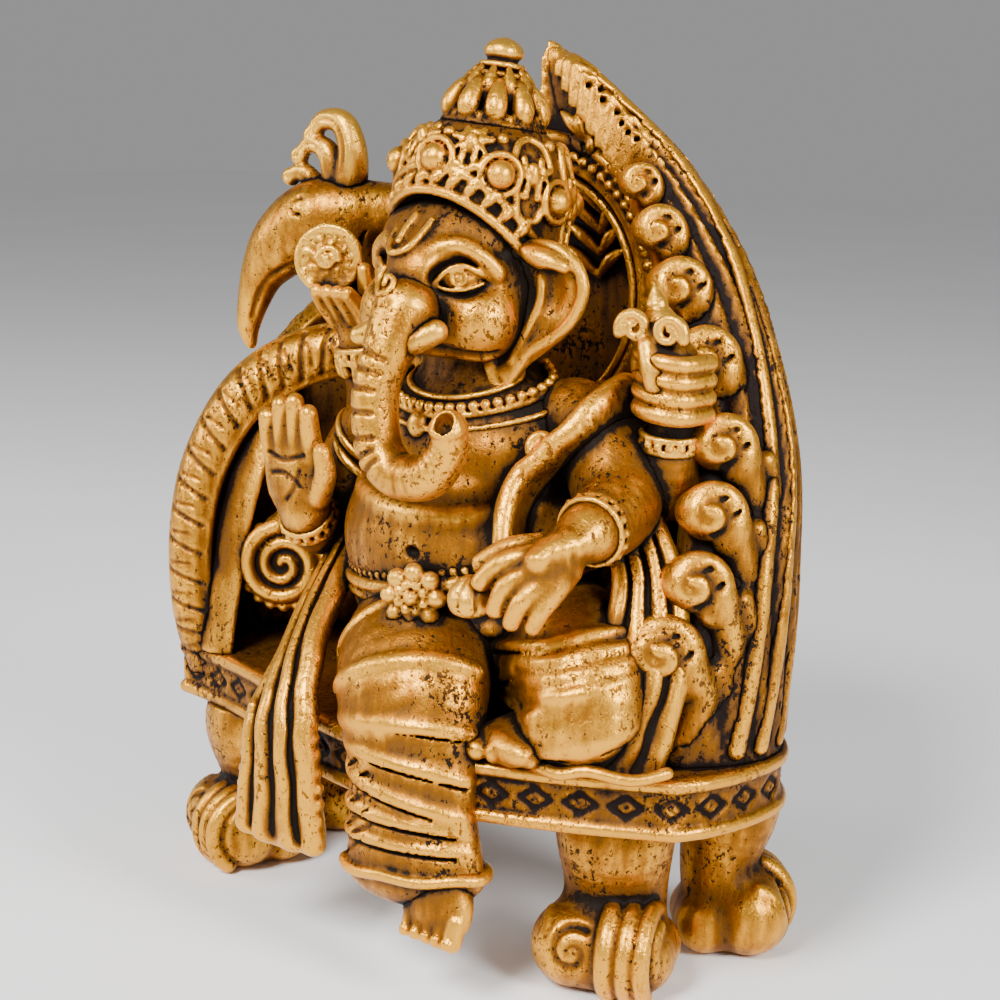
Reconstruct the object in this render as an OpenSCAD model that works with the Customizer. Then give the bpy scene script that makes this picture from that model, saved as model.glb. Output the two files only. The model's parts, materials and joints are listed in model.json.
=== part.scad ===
// Seated four-armed elephant-headed idol on a bird-shaped wrap-around throne.
// Cold-cast resin figure, made as separate castings that are pinned and glued together.
// Origin: centre of the footprint on the table. +Z up, the figure faces -Y, +X is its left-hand side.

/* [Throne] */
// Height of the four scroll legs under the seat
leg_height = 40; // [36:1:44]
// Thickness of the seat plinth
plinth_height = 13; // [11:1:15]
// Half of the seat's greatest width
half_width = 81; // [79:1:83]
// Distance from the widest line of the seat to its back
back_depth = 39; // [37:1:41]
// Height of the peak of the throne back
peak_height = 200; // [196:1:204]
// Wall thickness of the wrap-around throne shell
shell_wall = 7; // [6:0.5:9]
// Radius of the halo ring behind the head
halo_radius = 34; // [32:1:36]

/* [Figure] */
// Half width of the belly
belly_radius = 33; // [30:1:34]
// Half width of the head at the cheeks
head_radius = 20; // [18:1:21]
// Radius of the crown dome
crown_radius = 19; // [17:0.5:20]
// Radius of the trunk where it leaves the face
trunk_radius = 7.5; // [6.5:0.5:8.5]
// Radius of the sweet held in the front left hand
sweet_radius = 4.5; // [3.5:0.5:5.5]
// Radius of the lotus disc held in the rear right hand
lotus_radius = 8.5; // [7:0.5:9.5]

/* [Hidden] */
seat_z = leg_height + plinth_height;
// Side corners of the seat, as angles in front of its widest line
left_corner = 24;
right_corner = 15;
widest_y = 8;
front_reach = 65;
// Bowed front edge of the seat between its corners, fullest under the hanging leg
FRONT_EDGE = [[-77.5, -9.5], [-60, -13], [-40, -20], [-15, -33], [15, -39], [47, -31], [73, -19]];
gold = [0.72, 0.47, 0.16];
old_gold = [0.58, 0.36, 0.12];
bright_gold = [0.85, 0.62, 0.25];
umber = [0.32, 0.19, 0.08];

// ---------- vector helpers ----------
function unit(v) = v / norm(v);
function mix(a, b, t) = a + (b - a) * t;
function ramp(t) = t * t * (3 - 2 * t);

// A smooth curve through the control points, cut into steps per span.
function spline_at(p, i, t) =
    let (
        a = p[max(i - 1, 0)],
        b = p[i],
        c = p[i + 1],
        d = p[min(i + 2, len(p) - 1)]
    )
    0.5 * (2 * b + (c - a) * t + (2 * a - 5 * b + 4 * c - d) * t * t + (3 * b - a - 3 * c + d) * t * t * t);
function spline(p, steps) = [
    for (i = [0 : len(p) - 2])
        for (k = [0 : (i == len(p) - 2 ? steps : steps - 1)])
            spline_at(p, i, k / steps)
];

// Direction of travel at point i of a path.
function heading(p, i) = unit(p[min(i + 1, len(p) - 1)] - p[max(i - 1, 0)]);

// Closed skin over a list of rings that all have the same even number of points.
module skin(rings) {
    n = len(rings[0]);
    m = len(rings);
    last = (m - 1) * n;
    polyhedron(
        points = [for (r = rings) for (q = r) q],
        faces = concat(
            [
                for (k = [0 : n / 2 - 2])
                    for (half = [0, 1])
                        half == 0 ? [k, k + 1, n - 2 - k] : [k, n - 2 - k, n - 1 - k]
            ],
            [
                for (k = [0 : n / 2 - 2])
                    for (half = [0, 1])
                        half == 0 ? [last + k, last + n - 2 - k, last + k + 1] : [last + k, last + n - 1 - k, last + n - 2 - k]
            ],
            [
                for (i = [0 : m - 2])
                    for (k = [0 : n - 1])
                        for (half = [0, 1])
                            half == 0
                                ? [i * n + k, (i + 1) * n + k, i * n + (k + 1) % n]
                                : [(i + 1) * n + k, (i + 1) * n + (k + 1) % n, i * n + (k + 1) % n]
            ]
        )
    );
}

// Limb swept along points; each row of path is [x, y, z, radius across, radius along up].
module limb(path, steps = 3, sides = 12, up = [0, 0, 1]) {
    rows = spline(path, steps);
    centres = [for (r = rows) [r[0], r[1], r[2]]];
    skin([
        for (i = [0 : len(rows) - 1])
            let (
                t = heading(centres, i),
                s = unit(cross(t, up)),
                v = cross(s, t)
            )
            [
                for (k = [0 : sides - 1])
                    let (a = -360 * k / sides)
                    centres[i] + s * rows[i][3] * cos(a) + v * rows[i][4] * sin(a)
            ]
    ]);
}

// Joins a hand-sculpted piece and what is carved out of it into one smooth skin.
module sculpt() {
    resize([0, 0, 0]) children();
}

// Rounded mass with three half axes, leaned by the angles in lean.
module mass(centre, radii, lean = [0, 0, 0], facets = 24) {
    translate(centre)
        rotate(lean)
            scale(radii)
                sphere(r = 1, $fn = facets);
}

// Flat spiral of rope, starting at the rim and ending near its own centre.
module curl(centre, size, turns, rope, start, face = [90, 0, 0], hand = 1) {
    steps = 18;
    translate(centre)
        rotate(face)
            limb(
                [
                    for (k = [0 : steps])
                        let (
                            f = k / steps,
                            a = start + hand * 360 * turns * f,
                            r = mix(size, size * 0.18, f)
                        )
                        [r * cos(a), r * sin(a), 0, mix(rope, rope * 0.6, f), mix(rope, rope * 0.6, f)]
                ],
                steps = 1,
                sides = 8
            );
}

// ---------- throne ----------
// Seat outline, grown outward by g: a bowed front between two corners, round sides and back.
function seat_outline(g = 0) = concat(
    [for (p = spline(FRONT_EDGE, 3)) [p[0] * (1 + g / half_width), p[1] * (1 + g / back_depth)]],
    [
        for (k = [1 : 31])
            let (t = mix(-left_corner, 180 + right_corner, k / 32))
            [
                (half_width + g) * cos(t),
                widest_y + ((t < 0 || t > 180 ? front_reach : back_depth) + g) * sin(t)
            ]
    ]
);

module plinth() {
    lip = 2.6;
    color(old_gold) {
        translate([0, 0, leg_height])
            linear_extrude(plinth_height)
                polygon(seat_outline(-1.2));
        for (z = [leg_height, seat_z - lip])
            translate([0, 0, z])
                linear_extrude(lip)
                    polygon(seat_outline(0));
    }
}

// Cabriole leg with a rolled foot, cut flat where it rests. turn points the foot outward.
module scroll_leg(place, turn, wide) {
    roll = 10;
    translate([place[0], place[1], 0])
        rotate(turn)
            intersection() {
                union() {
                    limb(
                        [
                            [0, 2, 44, wide, 11],
                            [0, 0, 34, wide, 11],
                            [0, 3, 22, wide - 3, 8],
                            [0, 2, 11, wide - 2, 8],
                            [0, 0, 4, wide - 4, 6]
                        ],
                        up = [0, 1, 0]
                    );
                    translate([0, -5, roll - 0.8])
                        rotate([0, 90, 0])
                            cylinder(r = roll, h = 2 * wide - 2, center = true, $fn = 40);
                    translate([0, 5, roll - 3])
                        rotate([0, 90, 0])
                            cylinder(r = roll - 2.4, h = 2 * wide - 5, center = true, $fn = 32);
                }
                translate([-40, -40, 0])
                    cube([80, 80, leg_height]);
            }
}

module front_right_leg() {
    color(gold) scroll_leg([-59, -3], -24, 13);
}

module front_left_leg() {
    color(gold) scroll_leg([51, -7], 18, 13);
}

module rear_right_leg() {
    color(gold) scroll_leg([-58, 27], -150, 10);
}

module rear_left_leg() {
    color(gold) scroll_leg([61, 25], 128, 10);
}

// Half width of the throne at height z, narrowing to the peak.
function shell_half_width(z) = lookup(z, [
    [40, half_width - 2],
    [77, half_width - 1.6],
    [93, 78.5],
    [110, 76.5],
    [128, 71],
    [147, 62],
    [163, 51],
    [177, 38],
    [190, 20],
    [peak_height, 7]
]);
// Distance from the widest line to the back of the shell at height z.
function shell_depth(z) = lookup(z, [[53, 38], [90, 33], [117, 26], [140, 20], [156, 15], [180, 9], [peak_height, 4]]);
// Back of the shell at height z.
function shell_back(z) = lookup(z, [[40, 46], [90, 46], [140, 43], [170, 39], [peak_height, 34]]);
// Point of the shell at angle a from the back centre, in from its outer face by w.
function shell_point(a, z, w) = [
    (shell_half_width(z) - w) * sin(a),
    shell_back(z) - w - (shell_depth(z) - w * 0.6) * (1 - cos(a)),
    z
];

// Wall of the shell between two angles, from the seat up to top(a) given as [height at a0, height at a1].
module shell_wall_part(a0, a1, tops, wall, na = 10, nz = 12) {
    skin([
        for (i = [0 : na])
            let (
                a = mix(a0, a1, i / na),
                top = lookup(i / na, tops)
            )
            concat(
                [for (k = [0 : nz]) shell_point(a, mix(seat_z, top, k / nz), 0)],
                [for (k = [nz : -1 : 0]) shell_point(a, mix(seat_z, top, k / nz), min(wall, shell_half_width(mix(seat_z, top, k / nz)) - 2))]
            )
    ]);
}

module throne_back() {
    color(old_gold)
        shell_wall_part(-34, 34, [[0, 166], [0.35, 180], [0.6, peak_height], [1, peak_height]], shell_wall + 2);
}

module halo_ring() {
    color(gold)
        translate([0, 30, 143])
            rotate([90, 0, 0])
                rotate_extrude($fn = 72)
                    translate([halo_radius, 0])
                        circle(r = 3, $fn = 16);
}

module right_arm_wing() {
    color(old_gold)
        mirror([1, 0, 0])
            shell_wall_part(34, 124, [[0, 166], [0.3, 150], [0.7, 128], [1, 112]], shell_wall);
}

module left_arm_wing() {
    color(old_gold)
        shell_wall_part(34, 124, [[0, peak_height], [1, peak_height - 4]], shell_wall);
}

// Rolled curls up the front edge of the left wing, each [x, y, z, size].
WING_CURLS = [
    [60, -9, 78, 9],
    [65, -3, 92, 7.5],
    [65, 2, 105, 7.5],
    [63, 8, 119, 7.5],
    [53, 13, 139, 6.5],
    [42, 18, 155, 5.5],
    [33, 22, 167, 4]
];

module wing_curls() {
    color(gold)
        for (c = WING_CURLS)
            curl([c[0], c[1], c[2]], c[3], 1.3, c[3] * 0.3, -40, [90, 0, 35], 1);
}

// Long feathers that run up the outside of the left wing to the peak.
module wing_feathers() {
    rib = 1.4;
    color(gold)
        for (a = [66 : 14 : 108])
            limb(
                [
                    for (z = [seat_z + 3, 80, 105, 130, 150, 168, 184])
                        let (q = shell_point(a, z, -0.1))
                        [q[0], q[1], q[2], rib, rib]
                ],
                steps = 2,
                sides = 8,
                up = [0, 1, 0]
            );
}

// Front rim of the right-hand armrest, an arch from the seat corner to behind the shoulder.
ARCH = [
    [-72, -9, 53, 6, 5],
    [-74.6, -9, 66, 6, 5],
    [-74.6, -8, 80, 6, 5],
    [-73, -5, 97, 6, 5],
    [-66, 0, 113, 6, 5],
    [-57, 6, 122, 6, 5],
    [-45, 12, 127, 6, 5],
    [-32, 18, 127, 5, 4]
];

module arm_arch() {
    color(gold) limb(ARCH, steps = 3, sides = 12, up = [0, 1, 0]);
}

module arm_scroll() {
    color(gold) {
        translate([-52, 2, 76])
            rotate([90, 0, 28])
                cylinder(r = 11, h = 5, $fn = 48);
        curl([-51, -1.6, 76], 10, 1.6, 2.2, 90, [90, 0, 28], 1);
    }
}

module bird_head() {
    color(gold) {
        limb(
            [
                [-22, 27, 160, 5.5, 5.5],
                [-35, 20, 160.5, 6, 6],
                [-45, 14, 160, 7, 7.5],
                [-53, 11, 157, 8, 9],
                [-60, 9, 151, 7.5, 8.5],
                [-66, 7, 143, 5, 5.5],
                [-68, 6, 135, 3.4, 4],
                [-67, 6, 128, 2, 2]
            ],
            up = [0.3, 1, 0]
        );
    }
}

module bird_crest() {
    color(bright_gold)
        for (f = [[0, 186, 3], [4, 181, 2.6], [7, 175, 2.2]])
            limb(
                [
                    [-45, 14, 164, f[2], f[2]],
                    [-43 - f[0] * 0.6, 14, 174, f[2], f[2]],
                    [-46 - f[0], 13, f[1] - 1, f[2], f[2]],
                    [-54 - f[0], 11, f[1] - 3, f[2] * 0.8, f[2] * 0.8],
                    [-56 - f[0], 10, f[1] - 8, f[2] * 0.6, f[2] * 0.6]
                ],
                steps = 2,
                sides = 8,
                up = [0, 1, 0]
            );
}

// ---------- figure ----------
module torso_form() {
    mass([8, 3, 70], [33, 24, 17]);
    mass([10, -3, 93], [belly_radius, 27, 26]);
    mass([10, -3, 114], [26, 20, 19]);
    limb([[9, 0, 120, 14, 13], [8, -2, 130, 12, 12], [7, -3, 137, 11, 11]], up = [0, 1, 0]);
}

module torso() {
    color(gold)
        sculpt() intersection() {
            torso_form();
            translate([-60, -60, seat_z])
                cube([140, 120, 140]);
        }
}

module head_form() {
    mass([6, -4, 149], [head_radius, 20, 19]);
    mass([17, -14, 141], [9, 9, 9], facets = 16);
    mass([-5, -14, 141], [9, 9, 9], facets = 16);
}

module head() {
    color(gold)
        sculpt() difference() {
            head_form();
            torso_form();
            crown_form();
        }
}

module trunk() {
    r = trunk_radius;
    color(gold)
        sculpt() difference() {
            limb(
                [
                    [6, -18, 150, r + 2, r + 1],
                    [5.5, -27, 146, r + 1, r],
                    [4.5, -32, 139, r, r - 0.5],
                    [4.5, -35, 130, r - 0.7, r - 0.7],
                    [5, -36.5, 120, r - 1.2, r - 1.2],
                    [8.5, -37, 112, r - 1.6, r - 1.6],
                    [15, -37, 108, r - 2, r - 2],
                    [22, -36.5, 110, r - 2.6, r - 2.6],
                    [26.5, -36.5, 115.5, r - 3.2, r - 3.2],
                    [27.5, -37, 121, r - 3.4, r - 3.4]
                ],
                up = [0, 1, 0.3]
            );
            head_form();
        }
}

// Fan-shaped ear; side is 1 for the figure's left and -1 for its right.
module ear(side) {
    middle = 6;
    color(gold)
        sculpt() difference() {
            limb(
                [
                    for (q = [
                        [19, -8, 160, 3, 2],
                        [23, -7, 157, 8, 2.4],
                        [26, -5, 149, 9.5, 2.4],
                        [24, -6, 140, 7.5, 2.2],
                        [21, -8, 132, 4, 2],
                        [20, -9, 128, 2, 1.6]
                    ])
                        [middle + side * q[0], q[1], q[2], q[3], q[4]]
                ],
                up = [0, 1, 0]
            );
            head_form();
        }
}

module left_ear() {
    ear(1);
}

module right_ear() {
    ear(-1);
}

module tusks() {
    color(bright_gold)
        for (side = [-1, 1])
            sculpt() difference() {
                limb(
                    [
                        [6 + side * 6.5, -18, 140, 2.6, 2.6],
                        [6 + side * 8.5, -24, 138, 2.4, 2.4],
                        [6 + side * (side > 0 ? 9.5 : 11), -29, side > 0 ? 136.5 : 135, 2.2, 2.2]
                    ],
                    sides = 10
                );
                head_form();
            }
}

// Everything of the crown stands on one leaning axis.
module on_crown_axis() {
    translate([7.5, -3, 158])
        rotate([-6, 4, 0])
            children();
}

module crown_form() {
    on_crown_axis()
        rotate_extrude($fn = 64)
            polygon([
                [0, 2],
                [crown_radius - 1, 0],
                [crown_radius, 1.5],
                [crown_radius, 4.5],
                [crown_radius - 0.8, 6],
                [crown_radius, 10],
                [crown_radius, 15],
                [crown_radius - 2, 20],
                [crown_radius - 5, 23],
                [0, 23]
            ]);
}

module crown() {
    color(gold) {
        crown_form();
        on_crown_axis()
            for (k = [0 : 7])
                rotate([0, 0, 45 * k])
                    translate([0, -crown_radius + 0.6, 13])
                        sphere(r = 3.2, $fn = 24);
    }
}

module crown_tier() {
    petals = 10;
    color(gold)
        on_crown_axis()
            translate([0, 0, 23]) {
                cylinder(r = 11.5, h = 2, $fn = 48);
                translate([0, 0, 2])
                    cylinder(r1 = 9.5, r2 = 6, h = 8, $fn = 48);
                for (k = [0 : petals - 1])
                    rotate([0, 0, 360 * k / petals])
                        translate([0, -8, 5])
                            sphere(r = 2.6, $fn = 20);
            }
}

module crown_finial() {
    color(bright_gold)
        on_crown_axis()
            translate([0, 0, 33])
                rotate_extrude($fn = 40)
                    polygon([[0, 0], [6, 0], [6, 1], [4.4, 1.8], [4.8, 2.8], [3.6, 3.6], [4.4, 5], [4, 7], [2.4, 8.6], [0, 9.2]]);
}

module front_left_arm() {
    color(gold)
        sculpt() difference() {
            union() {
                limb([
                    [33, -1, 120, 9, 9],
                    [42, -3, 115, 9.5, 9.5],
                    [49, -8, 107, 9, 9],
                    [50, -17, 104, 7, 7.5],
                    [48, -26, 103, 5, 5.5],
                    [45, -32, 98, 6.5, 4.5],
                    [42, -35, 91, 6.5, 3.6],
                    [40, -35, 85, 5, 2.6]
                ], up = [0.2, 0.6, 1]);
                limb([[40, -33, 97, 2.4, 2.4], [36, -37, 93, 2.2, 2.2], [34, -38, 90, 1.6, 1.6]], sides = 8);
            }
            torso_form();
        }
}

module front_right_arm() {
    color(gold)
        sculpt() difference() {
            union() {
                limb([
                    [-14, -3, 118, 9, 9],
                    [-25, -1, 108, 9, 9],
                    [-31, -3, 96, 8, 8],
                    [-30, -11, 91, 6.5, 6.5],
                    [-29, -17, 95, 5, 4.5]
                ], up = [1, 0, 0.2]);
                limb([
                    [-29, -17, 94, 5, 4.5],
                    [-29.5, -19, 102, 7.5, 3.4],
                    [-31, -19, 111, 7, 2.8],
                    [-32, -19, 119, 5, 2]
                ], up = [0, 1, 0]);
                limb([[-25, -19, 99, 2.2, 2.4], [-22.5, -20, 105, 2.2, 2.2], [-23, -20, 110, 1.6, 1.6]], sides = 8, up = [0, 1, 0]);
            }
            torso_form();
        }
}

module rear_left_arm() {
    color(gold)
        sculpt() difference() {
            limb([
                [34, 10, 120, 7.5, 7.5],
                [44, 9, 111, 7.5, 7.5],
                [53, 4, 105, 7, 7],
                [56, 0, 113, 6, 6],
                [57, -1, 120, 4.6, 4.6],
                [58, -1, 126, 6.5, 5],
                [58, -1, 130, 5, 4]
            ], up = [0, 1, 0]);
            torso_form();
        }
}

module rear_right_arm() {
    color(gold)
        sculpt() difference() {
            union() {
                limb([
                    [-14, 9, 117, 7.5, 7.5],
                    [-24, 10, 110, 7.5, 7.5],
                    [-29, 8, 111, 7, 7],
                    [-28, 5, 120, 6, 6],
                    [-27, 1, 130, 5, 5],
                    [-28.5, -1, 138, 6, 4.5],
                    [-30, -2, 143, 5, 3.5]
                ], up = [0, 1, 0]);
            }
            torso_form();
        }
}

module sweet() {
    color(bright_gold)
        translate([33, -36, 88])
            rotate_extrude($fn = 32)
                polygon([
                    for (k = [0 : 10])
                        [sweet_radius * sin(18 * k) * (k > 7 ? 1 - 0.08 * (k - 7) : 1), -sweet_radius * cos(18 * k) + (k > 7 ? 0.4 * (k - 7) : 0)]
                ]);
}

// Conch with a whorled spire above and a body that narrows to its siphon.
module conch() {
    color(bright_gold)
        translate([57.5, -3, 128])
            rotate([0, -18, 0]) {
                translate([0, 0, 2])
                    rotate_extrude($fn = 40)
                        polygon([[0, 0], [4, 1], [6.4, 5], [7.2, 9], [6.2, 12], [4.6, 13.2], [4.6, 15], [3, 16.2], [3, 18], [1.8, 19], [1.4, 21], [0, 22.5]]);
                for (x = [-6.5, 6.5])
                    translate([x, -2, 12])
                        sphere(r = 2.6, $fn = 24);
            }
}

module lotus() {
    color(bright_gold)
        translate([-33.5, -5, 149])
            rotate([90, 0, 10]) {
                cylinder(r = lotus_radius, h = 4, center = true, $fn = 48);
                translate([0, 0, 1.6])
                    cylinder(r1 = 4, r2 = 2.4, h = 2.4, $fn = 32);
            }
}

// Beaded bands at the four wrists: [centre, lean, radius].
module bracelets() {
    color(bright_gold)
        for (b = [
            [[48.3, -24.5, 103], [78, 0, 12], 6.2],
            [[-29, -17, 95.5], [0, 0, 0], 5.8],
            [[56.8, -0.8, 119], [0, 8, 0], 5.8],
            [[-27.2, 0.4, 128.5], [4, 0, 0], 6]
        ])
            translate(b[0])
                rotate(b[1])
                    rotate_extrude($fn = 40)
                        translate([b[2], 0])
                            circle(r = 1.6, $fn = 16);
}

module right_leg() {
    color(gold)
        sculpt() difference() {
            limb([
                [-4, 2, 69, 14, 14],
                [2, -12, 70, 15, 15],
                [9, -24, 70, 16, 14],
                [15, -32, 64, 16, 13],
                [19, -36, 53, 15, 10],
                [20, -37.5, 42, 15, 9],
                [21.5, -38, 33, 17, 8.8],
                [21.5, -38, 28, 17, 8.4]
            ], up = [0, 1, -1]);
            torso_form();
            plinth();
        }
}

module right_foot() {
    color(gold)
        sculpt() difference() {
            limb([
                [24, -36, 31, 6.5, 5],
                [26, -37.5, 26, 6.5, 5.5],
                [29, -39.5, 20, 7.5, 5],
                [31, -43.2, 16, 7.5, 3.4]
            ], up = [0, 1, -1]);
            right_leg();
        }
}

module left_leg() {
    color(gold)
        sculpt() difference() {
            limb([
                [24, -3, 72, 12, 13],
                [35, -8, 74, 14, 14],
                [44, -13, 73.5, 14, 13.5],
                [49, -17, 69, 12, 12],
                [51, -20, 63, 10.5, 10]
            ], up = [0.3, 1, 0]);
            torso_form();
            right_leg();
        }
}

module left_foot() {
    color(gold)
        sculpt() difference() {
            limb([
                [43, -14, 58.5, 7, 5],
                [40, -24, 58.5, 9, 5],
                [38, -30, 57, 10.5, 4],
                [37.5, -34, 56.2, 10, 3.2]
            ]);
            left_leg();
            plinth();
            right_leg();
        }
}

module belt() {
    buckle = [15.5, -30.5, 84];
    rope = 1.8;
    color(bright_gold)
        sculpt() difference() {
            union() {
                limb(
                    [
                        for (k = [0 : 20])
                            let (t = -170 + 16 * k)
                            [10 + 33 * cos(t), -3 + 27.4 * sin(t), 86 + 4 * cos(t) + 2 * sin(t), rope, rope]
                    ],
                    steps = 1,
                    sides = 8
                );
                translate(buckle)
                    rotate([84, 0, 12])
                        cylinder(r = 6.5, h = 3.6, center = true, $fn = 40);
            }
            torso_form();
        }
}

module necklace() {
    color(bright_gold)
        sculpt() difference() {
            limb(
                [
                    for (k = [0 : 16])
                        let (t = -200 + 13.75 * k)
                        [9 + 18.5 * cos(t), -5 + 17.5 * sin(t), 126 + 4 * sin(t), 1.8, 1.8]
                ],
                steps = 1,
                sides = 8
            );
            torso_form();
            head_form();
        }
}

module shoulder_shawl() {
    color(gold)
        sculpt() difference() {
            limb([
                [38, 12, 124, 7, 3],
                [38, 4, 130, 8, 3.4],
                [36, -8, 126, 8, 3.4],
                [33, -18, 115, 8, 3.2],
                [32, -24, 104, 7, 3],
                [33, -26, 96, 5, 2.4]
            ], up = [1, 0.3, 0]);
            torso_form();
        }
}

// End of the shawl that falls from the forearm and fans out on the seat.
module seat_drape() {
    color(gold)
        sculpt() difference() {
            limb([
                [54, -8, 100, 4, 3],
                [59, -9, 88, 6, 3.4],
                [62, -15, 72, 8, 4],
                [60, -19, 60, 9.5, 4.4],
                [58, -22, 53.4, 10, 4.6]
            ], up = [-0.55, 0.83, 0]);
            left_leg();
            front_left_arm();
        }
}

module hip_drape() {
    color(gold)
        sculpt() difference() {
            limb([
                [-23, -8, 84, 5, 3],
                [-21, -20, 74, 7, 3.4],
                [-17, -34, 62, 8, 3.4],
                [-15, -40, 53, 9, 3.2],
                [-14, -41, 42, 9.5, 3.2],
                [-14, -41, 27, 11, 3.2]
            ], up = [0, 1, 0.4]);
            plinth();
            torso_form();
            right_leg();
        }
}

plinth();
front_right_leg();
front_left_leg();
rear_right_leg();
rear_left_leg();
throne_back();
halo_ring();
right_arm_wing();
left_arm_wing();
wing_curls();
wing_feathers();
arm_arch();
arm_scroll();
bird_head();
bird_crest();
torso();
head();
trunk();
left_ear();
right_ear();
tusks();
crown();
crown_tier();
crown_finial();
front_left_arm();
front_right_arm();
rear_left_arm();
rear_right_arm();
sweet();
conch();
lotus();
bracelets();
right_leg();
right_foot();
left_leg();
left_foot();
belt();
necklace();
shoulder_shawl();
seat_drape();
hip_drape();
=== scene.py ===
"""Looks for a seated elephant-headed idol in antique gold cast resin.

Every casting is sculpted as a distance field ("clay") in millimetres, in the same frame as the CAD,
and then meshed. Castings that touch are blended in one field and parted again along the seams,
so each piece is closed and meets its neighbours without a gap.
"""

import json
import math

import bpy
import numpy as np
import openvdb
from mathutils import Matrix, Vector


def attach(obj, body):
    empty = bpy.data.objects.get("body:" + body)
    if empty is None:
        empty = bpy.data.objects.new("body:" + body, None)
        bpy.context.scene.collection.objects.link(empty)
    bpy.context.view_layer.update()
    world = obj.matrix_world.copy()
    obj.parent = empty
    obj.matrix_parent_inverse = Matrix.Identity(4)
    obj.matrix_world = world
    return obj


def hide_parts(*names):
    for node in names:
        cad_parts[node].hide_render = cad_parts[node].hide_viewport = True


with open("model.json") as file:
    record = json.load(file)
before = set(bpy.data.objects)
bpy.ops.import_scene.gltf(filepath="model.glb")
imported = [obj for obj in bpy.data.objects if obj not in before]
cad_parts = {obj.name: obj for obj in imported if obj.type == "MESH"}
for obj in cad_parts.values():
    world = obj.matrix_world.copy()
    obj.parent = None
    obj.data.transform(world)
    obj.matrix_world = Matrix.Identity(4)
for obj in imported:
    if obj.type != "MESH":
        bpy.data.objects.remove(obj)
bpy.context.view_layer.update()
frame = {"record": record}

MM = 0.001
SEAT_BOTTOM = 40
SEAT_TOP = 53
# Field value for empty space far from any shape, in mm
FAR = np.float32(9.0)
COARSE = 1.0


# ---------------------------------------------------------------- clay: distance fields
def vec(*xyz):
    return np.array(xyz, np.float32)


def unit(v):
    v = np.asarray(v, np.float32)
    return v / max(float(np.linalg.norm(v)), 1e-6)


def turn(angles):
    """Rotation matrix for angles in degrees about X, then Y, then Z."""
    rx, ry, rz = (math.radians(a) for a in angles)
    m = Matrix.Rotation(rz, 3, "Z") @ Matrix.Rotation(ry, 3, "Y") @ Matrix.Rotation(rx, 3, "X")
    return np.array(m, np.float32)


def spline(points, steps):
    """Smooth curve through rows of numbers, cut into steps per span."""
    p = np.asarray(points, np.float32)
    out = []
    for i in range(len(p) - 1):
        a, b = p[max(i - 1, 0)], p[i]
        c, d = p[i + 1], p[min(i + 2, len(p) - 1)]
        for k in range(steps):
            t = k / steps
            out.append(0.5 * (2 * b + (c - a) * t + (2 * a - 5 * b + 4 * c - d) * t**2
                              + (3 * b - a - 3 * c + d) * t**3))
    out.append(p[-1])
    return np.array(out, np.float32)


class Shape:
    """A distance function with the box that it fills. fn takes x, y, z arrays that broadcast."""

    def __init__(self, low, high, fn):
        self.low, self.high, self.fn = np.asarray(low, np.float32), np.asarray(high, np.float32), fn


def egg(centre, radii, lean=(0, 0, 0)):
    """Rounded mass with three half axes."""
    c, r, m = vec(*centre), vec(*radii), turn(lean)
    reach = np.abs(m) @ r

    def fn(x, y, z):
        px, py, pz = x - c[0], y - c[1], z - c[2]
        q = [m[0, k] * px + m[1, k] * py + m[2, k] * pz for k in range(3)]
        k0 = np.sqrt(sum((q[k] / r[k]) ** 2 for k in range(3)))
        k1 = np.sqrt(sum((q[k] / r[k] ** 2) ** 2 for k in range(3)))
        return k0 * (k0 - 1) / np.maximum(k1, 1e-4)

    return [Shape(c - reach, c + reach, fn)]


def ball(centre, radius):
    """Sphere."""
    c = vec(*centre)

    def fn(x, y, z):
        return np.sqrt((x - c[0]) ** 2 + (y - c[1]) ** 2 + (z - c[2]) ** 2) - radius

    return [Shape(c - radius, c + radius, fn)]


def segment(a, b, ra, rb, wide, thick):
    """Tapered bar from a to b. ra and rb hold its half width along wide and half thickness along thick
    at each end, and a bar with no wide is round."""
    axis = b - a
    length2 = max(float(axis @ axis), 1e-6)
    reach = max(*ra, *rb)

    def fn(x, y, z):
        px, py, pz = x - a[0], y - a[1], z - a[2]
        t = np.clip((px * axis[0] + py * axis[1] + pz * axis[2]) / length2, 0, 1)
        qx, qy, qz = px - t * axis[0], py - t * axis[1], pz - t * axis[2]
        if wide is None:
            return np.sqrt(qx * qx + qy * qy + qz * qz) - (ra[0] + t * (rb[0] - ra[0]))
        u = qx * wide[0] + qy * wide[1] + qz * wide[2]
        v = qx * thick[0] + qy * thick[1] + qz * thick[2]
        w2 = np.maximum(qx * qx + qy * qy + qz * qz - u * u - v * v, 0)
        rw, rt = ra[0] + t * (rb[0] - ra[0]), ra[1] + t * (rb[1] - ra[1])
        k0 = np.sqrt((u / rw) ** 2 + (v / rt) ** 2 + w2 / (rt * rt))
        k1 = np.sqrt((u / rw**2) ** 2 + (v / rt**2) ** 2 + w2 / rt**4)
        return k0 * (k0 - 1) / np.maximum(k1, 1e-4)

    return Shape(np.minimum(a, b) - reach, np.maximum(a, b) + reach, fn)


def limb(rows, steps=4, up=(0, 1, 0)):
    """Tube along rows of x, y, z, radius, or a flattened one along x, y, z, half width, half thickness.
    The width runs across both the path and up."""
    p = spline(rows, steps)
    flat = p.shape[1] == 5
    shapes = []
    for i in range(len(p) - 1):
        a, b = p[i], p[i + 1]
        wide = thick = None
        if flat:
            along = unit(b[:3] - a[:3])
            wide = unit(np.cross(along, up))
            thick = np.cross(wide, along)
        ra = (a[3], a[4]) if flat else (a[3], a[3])
        rb = (b[3], b[4]) if flat else (b[3], b[3])
        shapes.append(segment(a[:3], b[:3], ra, rb, wide, thick))
    return shapes


def rope(points, radius, steps=4):
    """Tube of one radius through points."""
    return limb([[*q[:3], radius] for q in points], steps)


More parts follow.
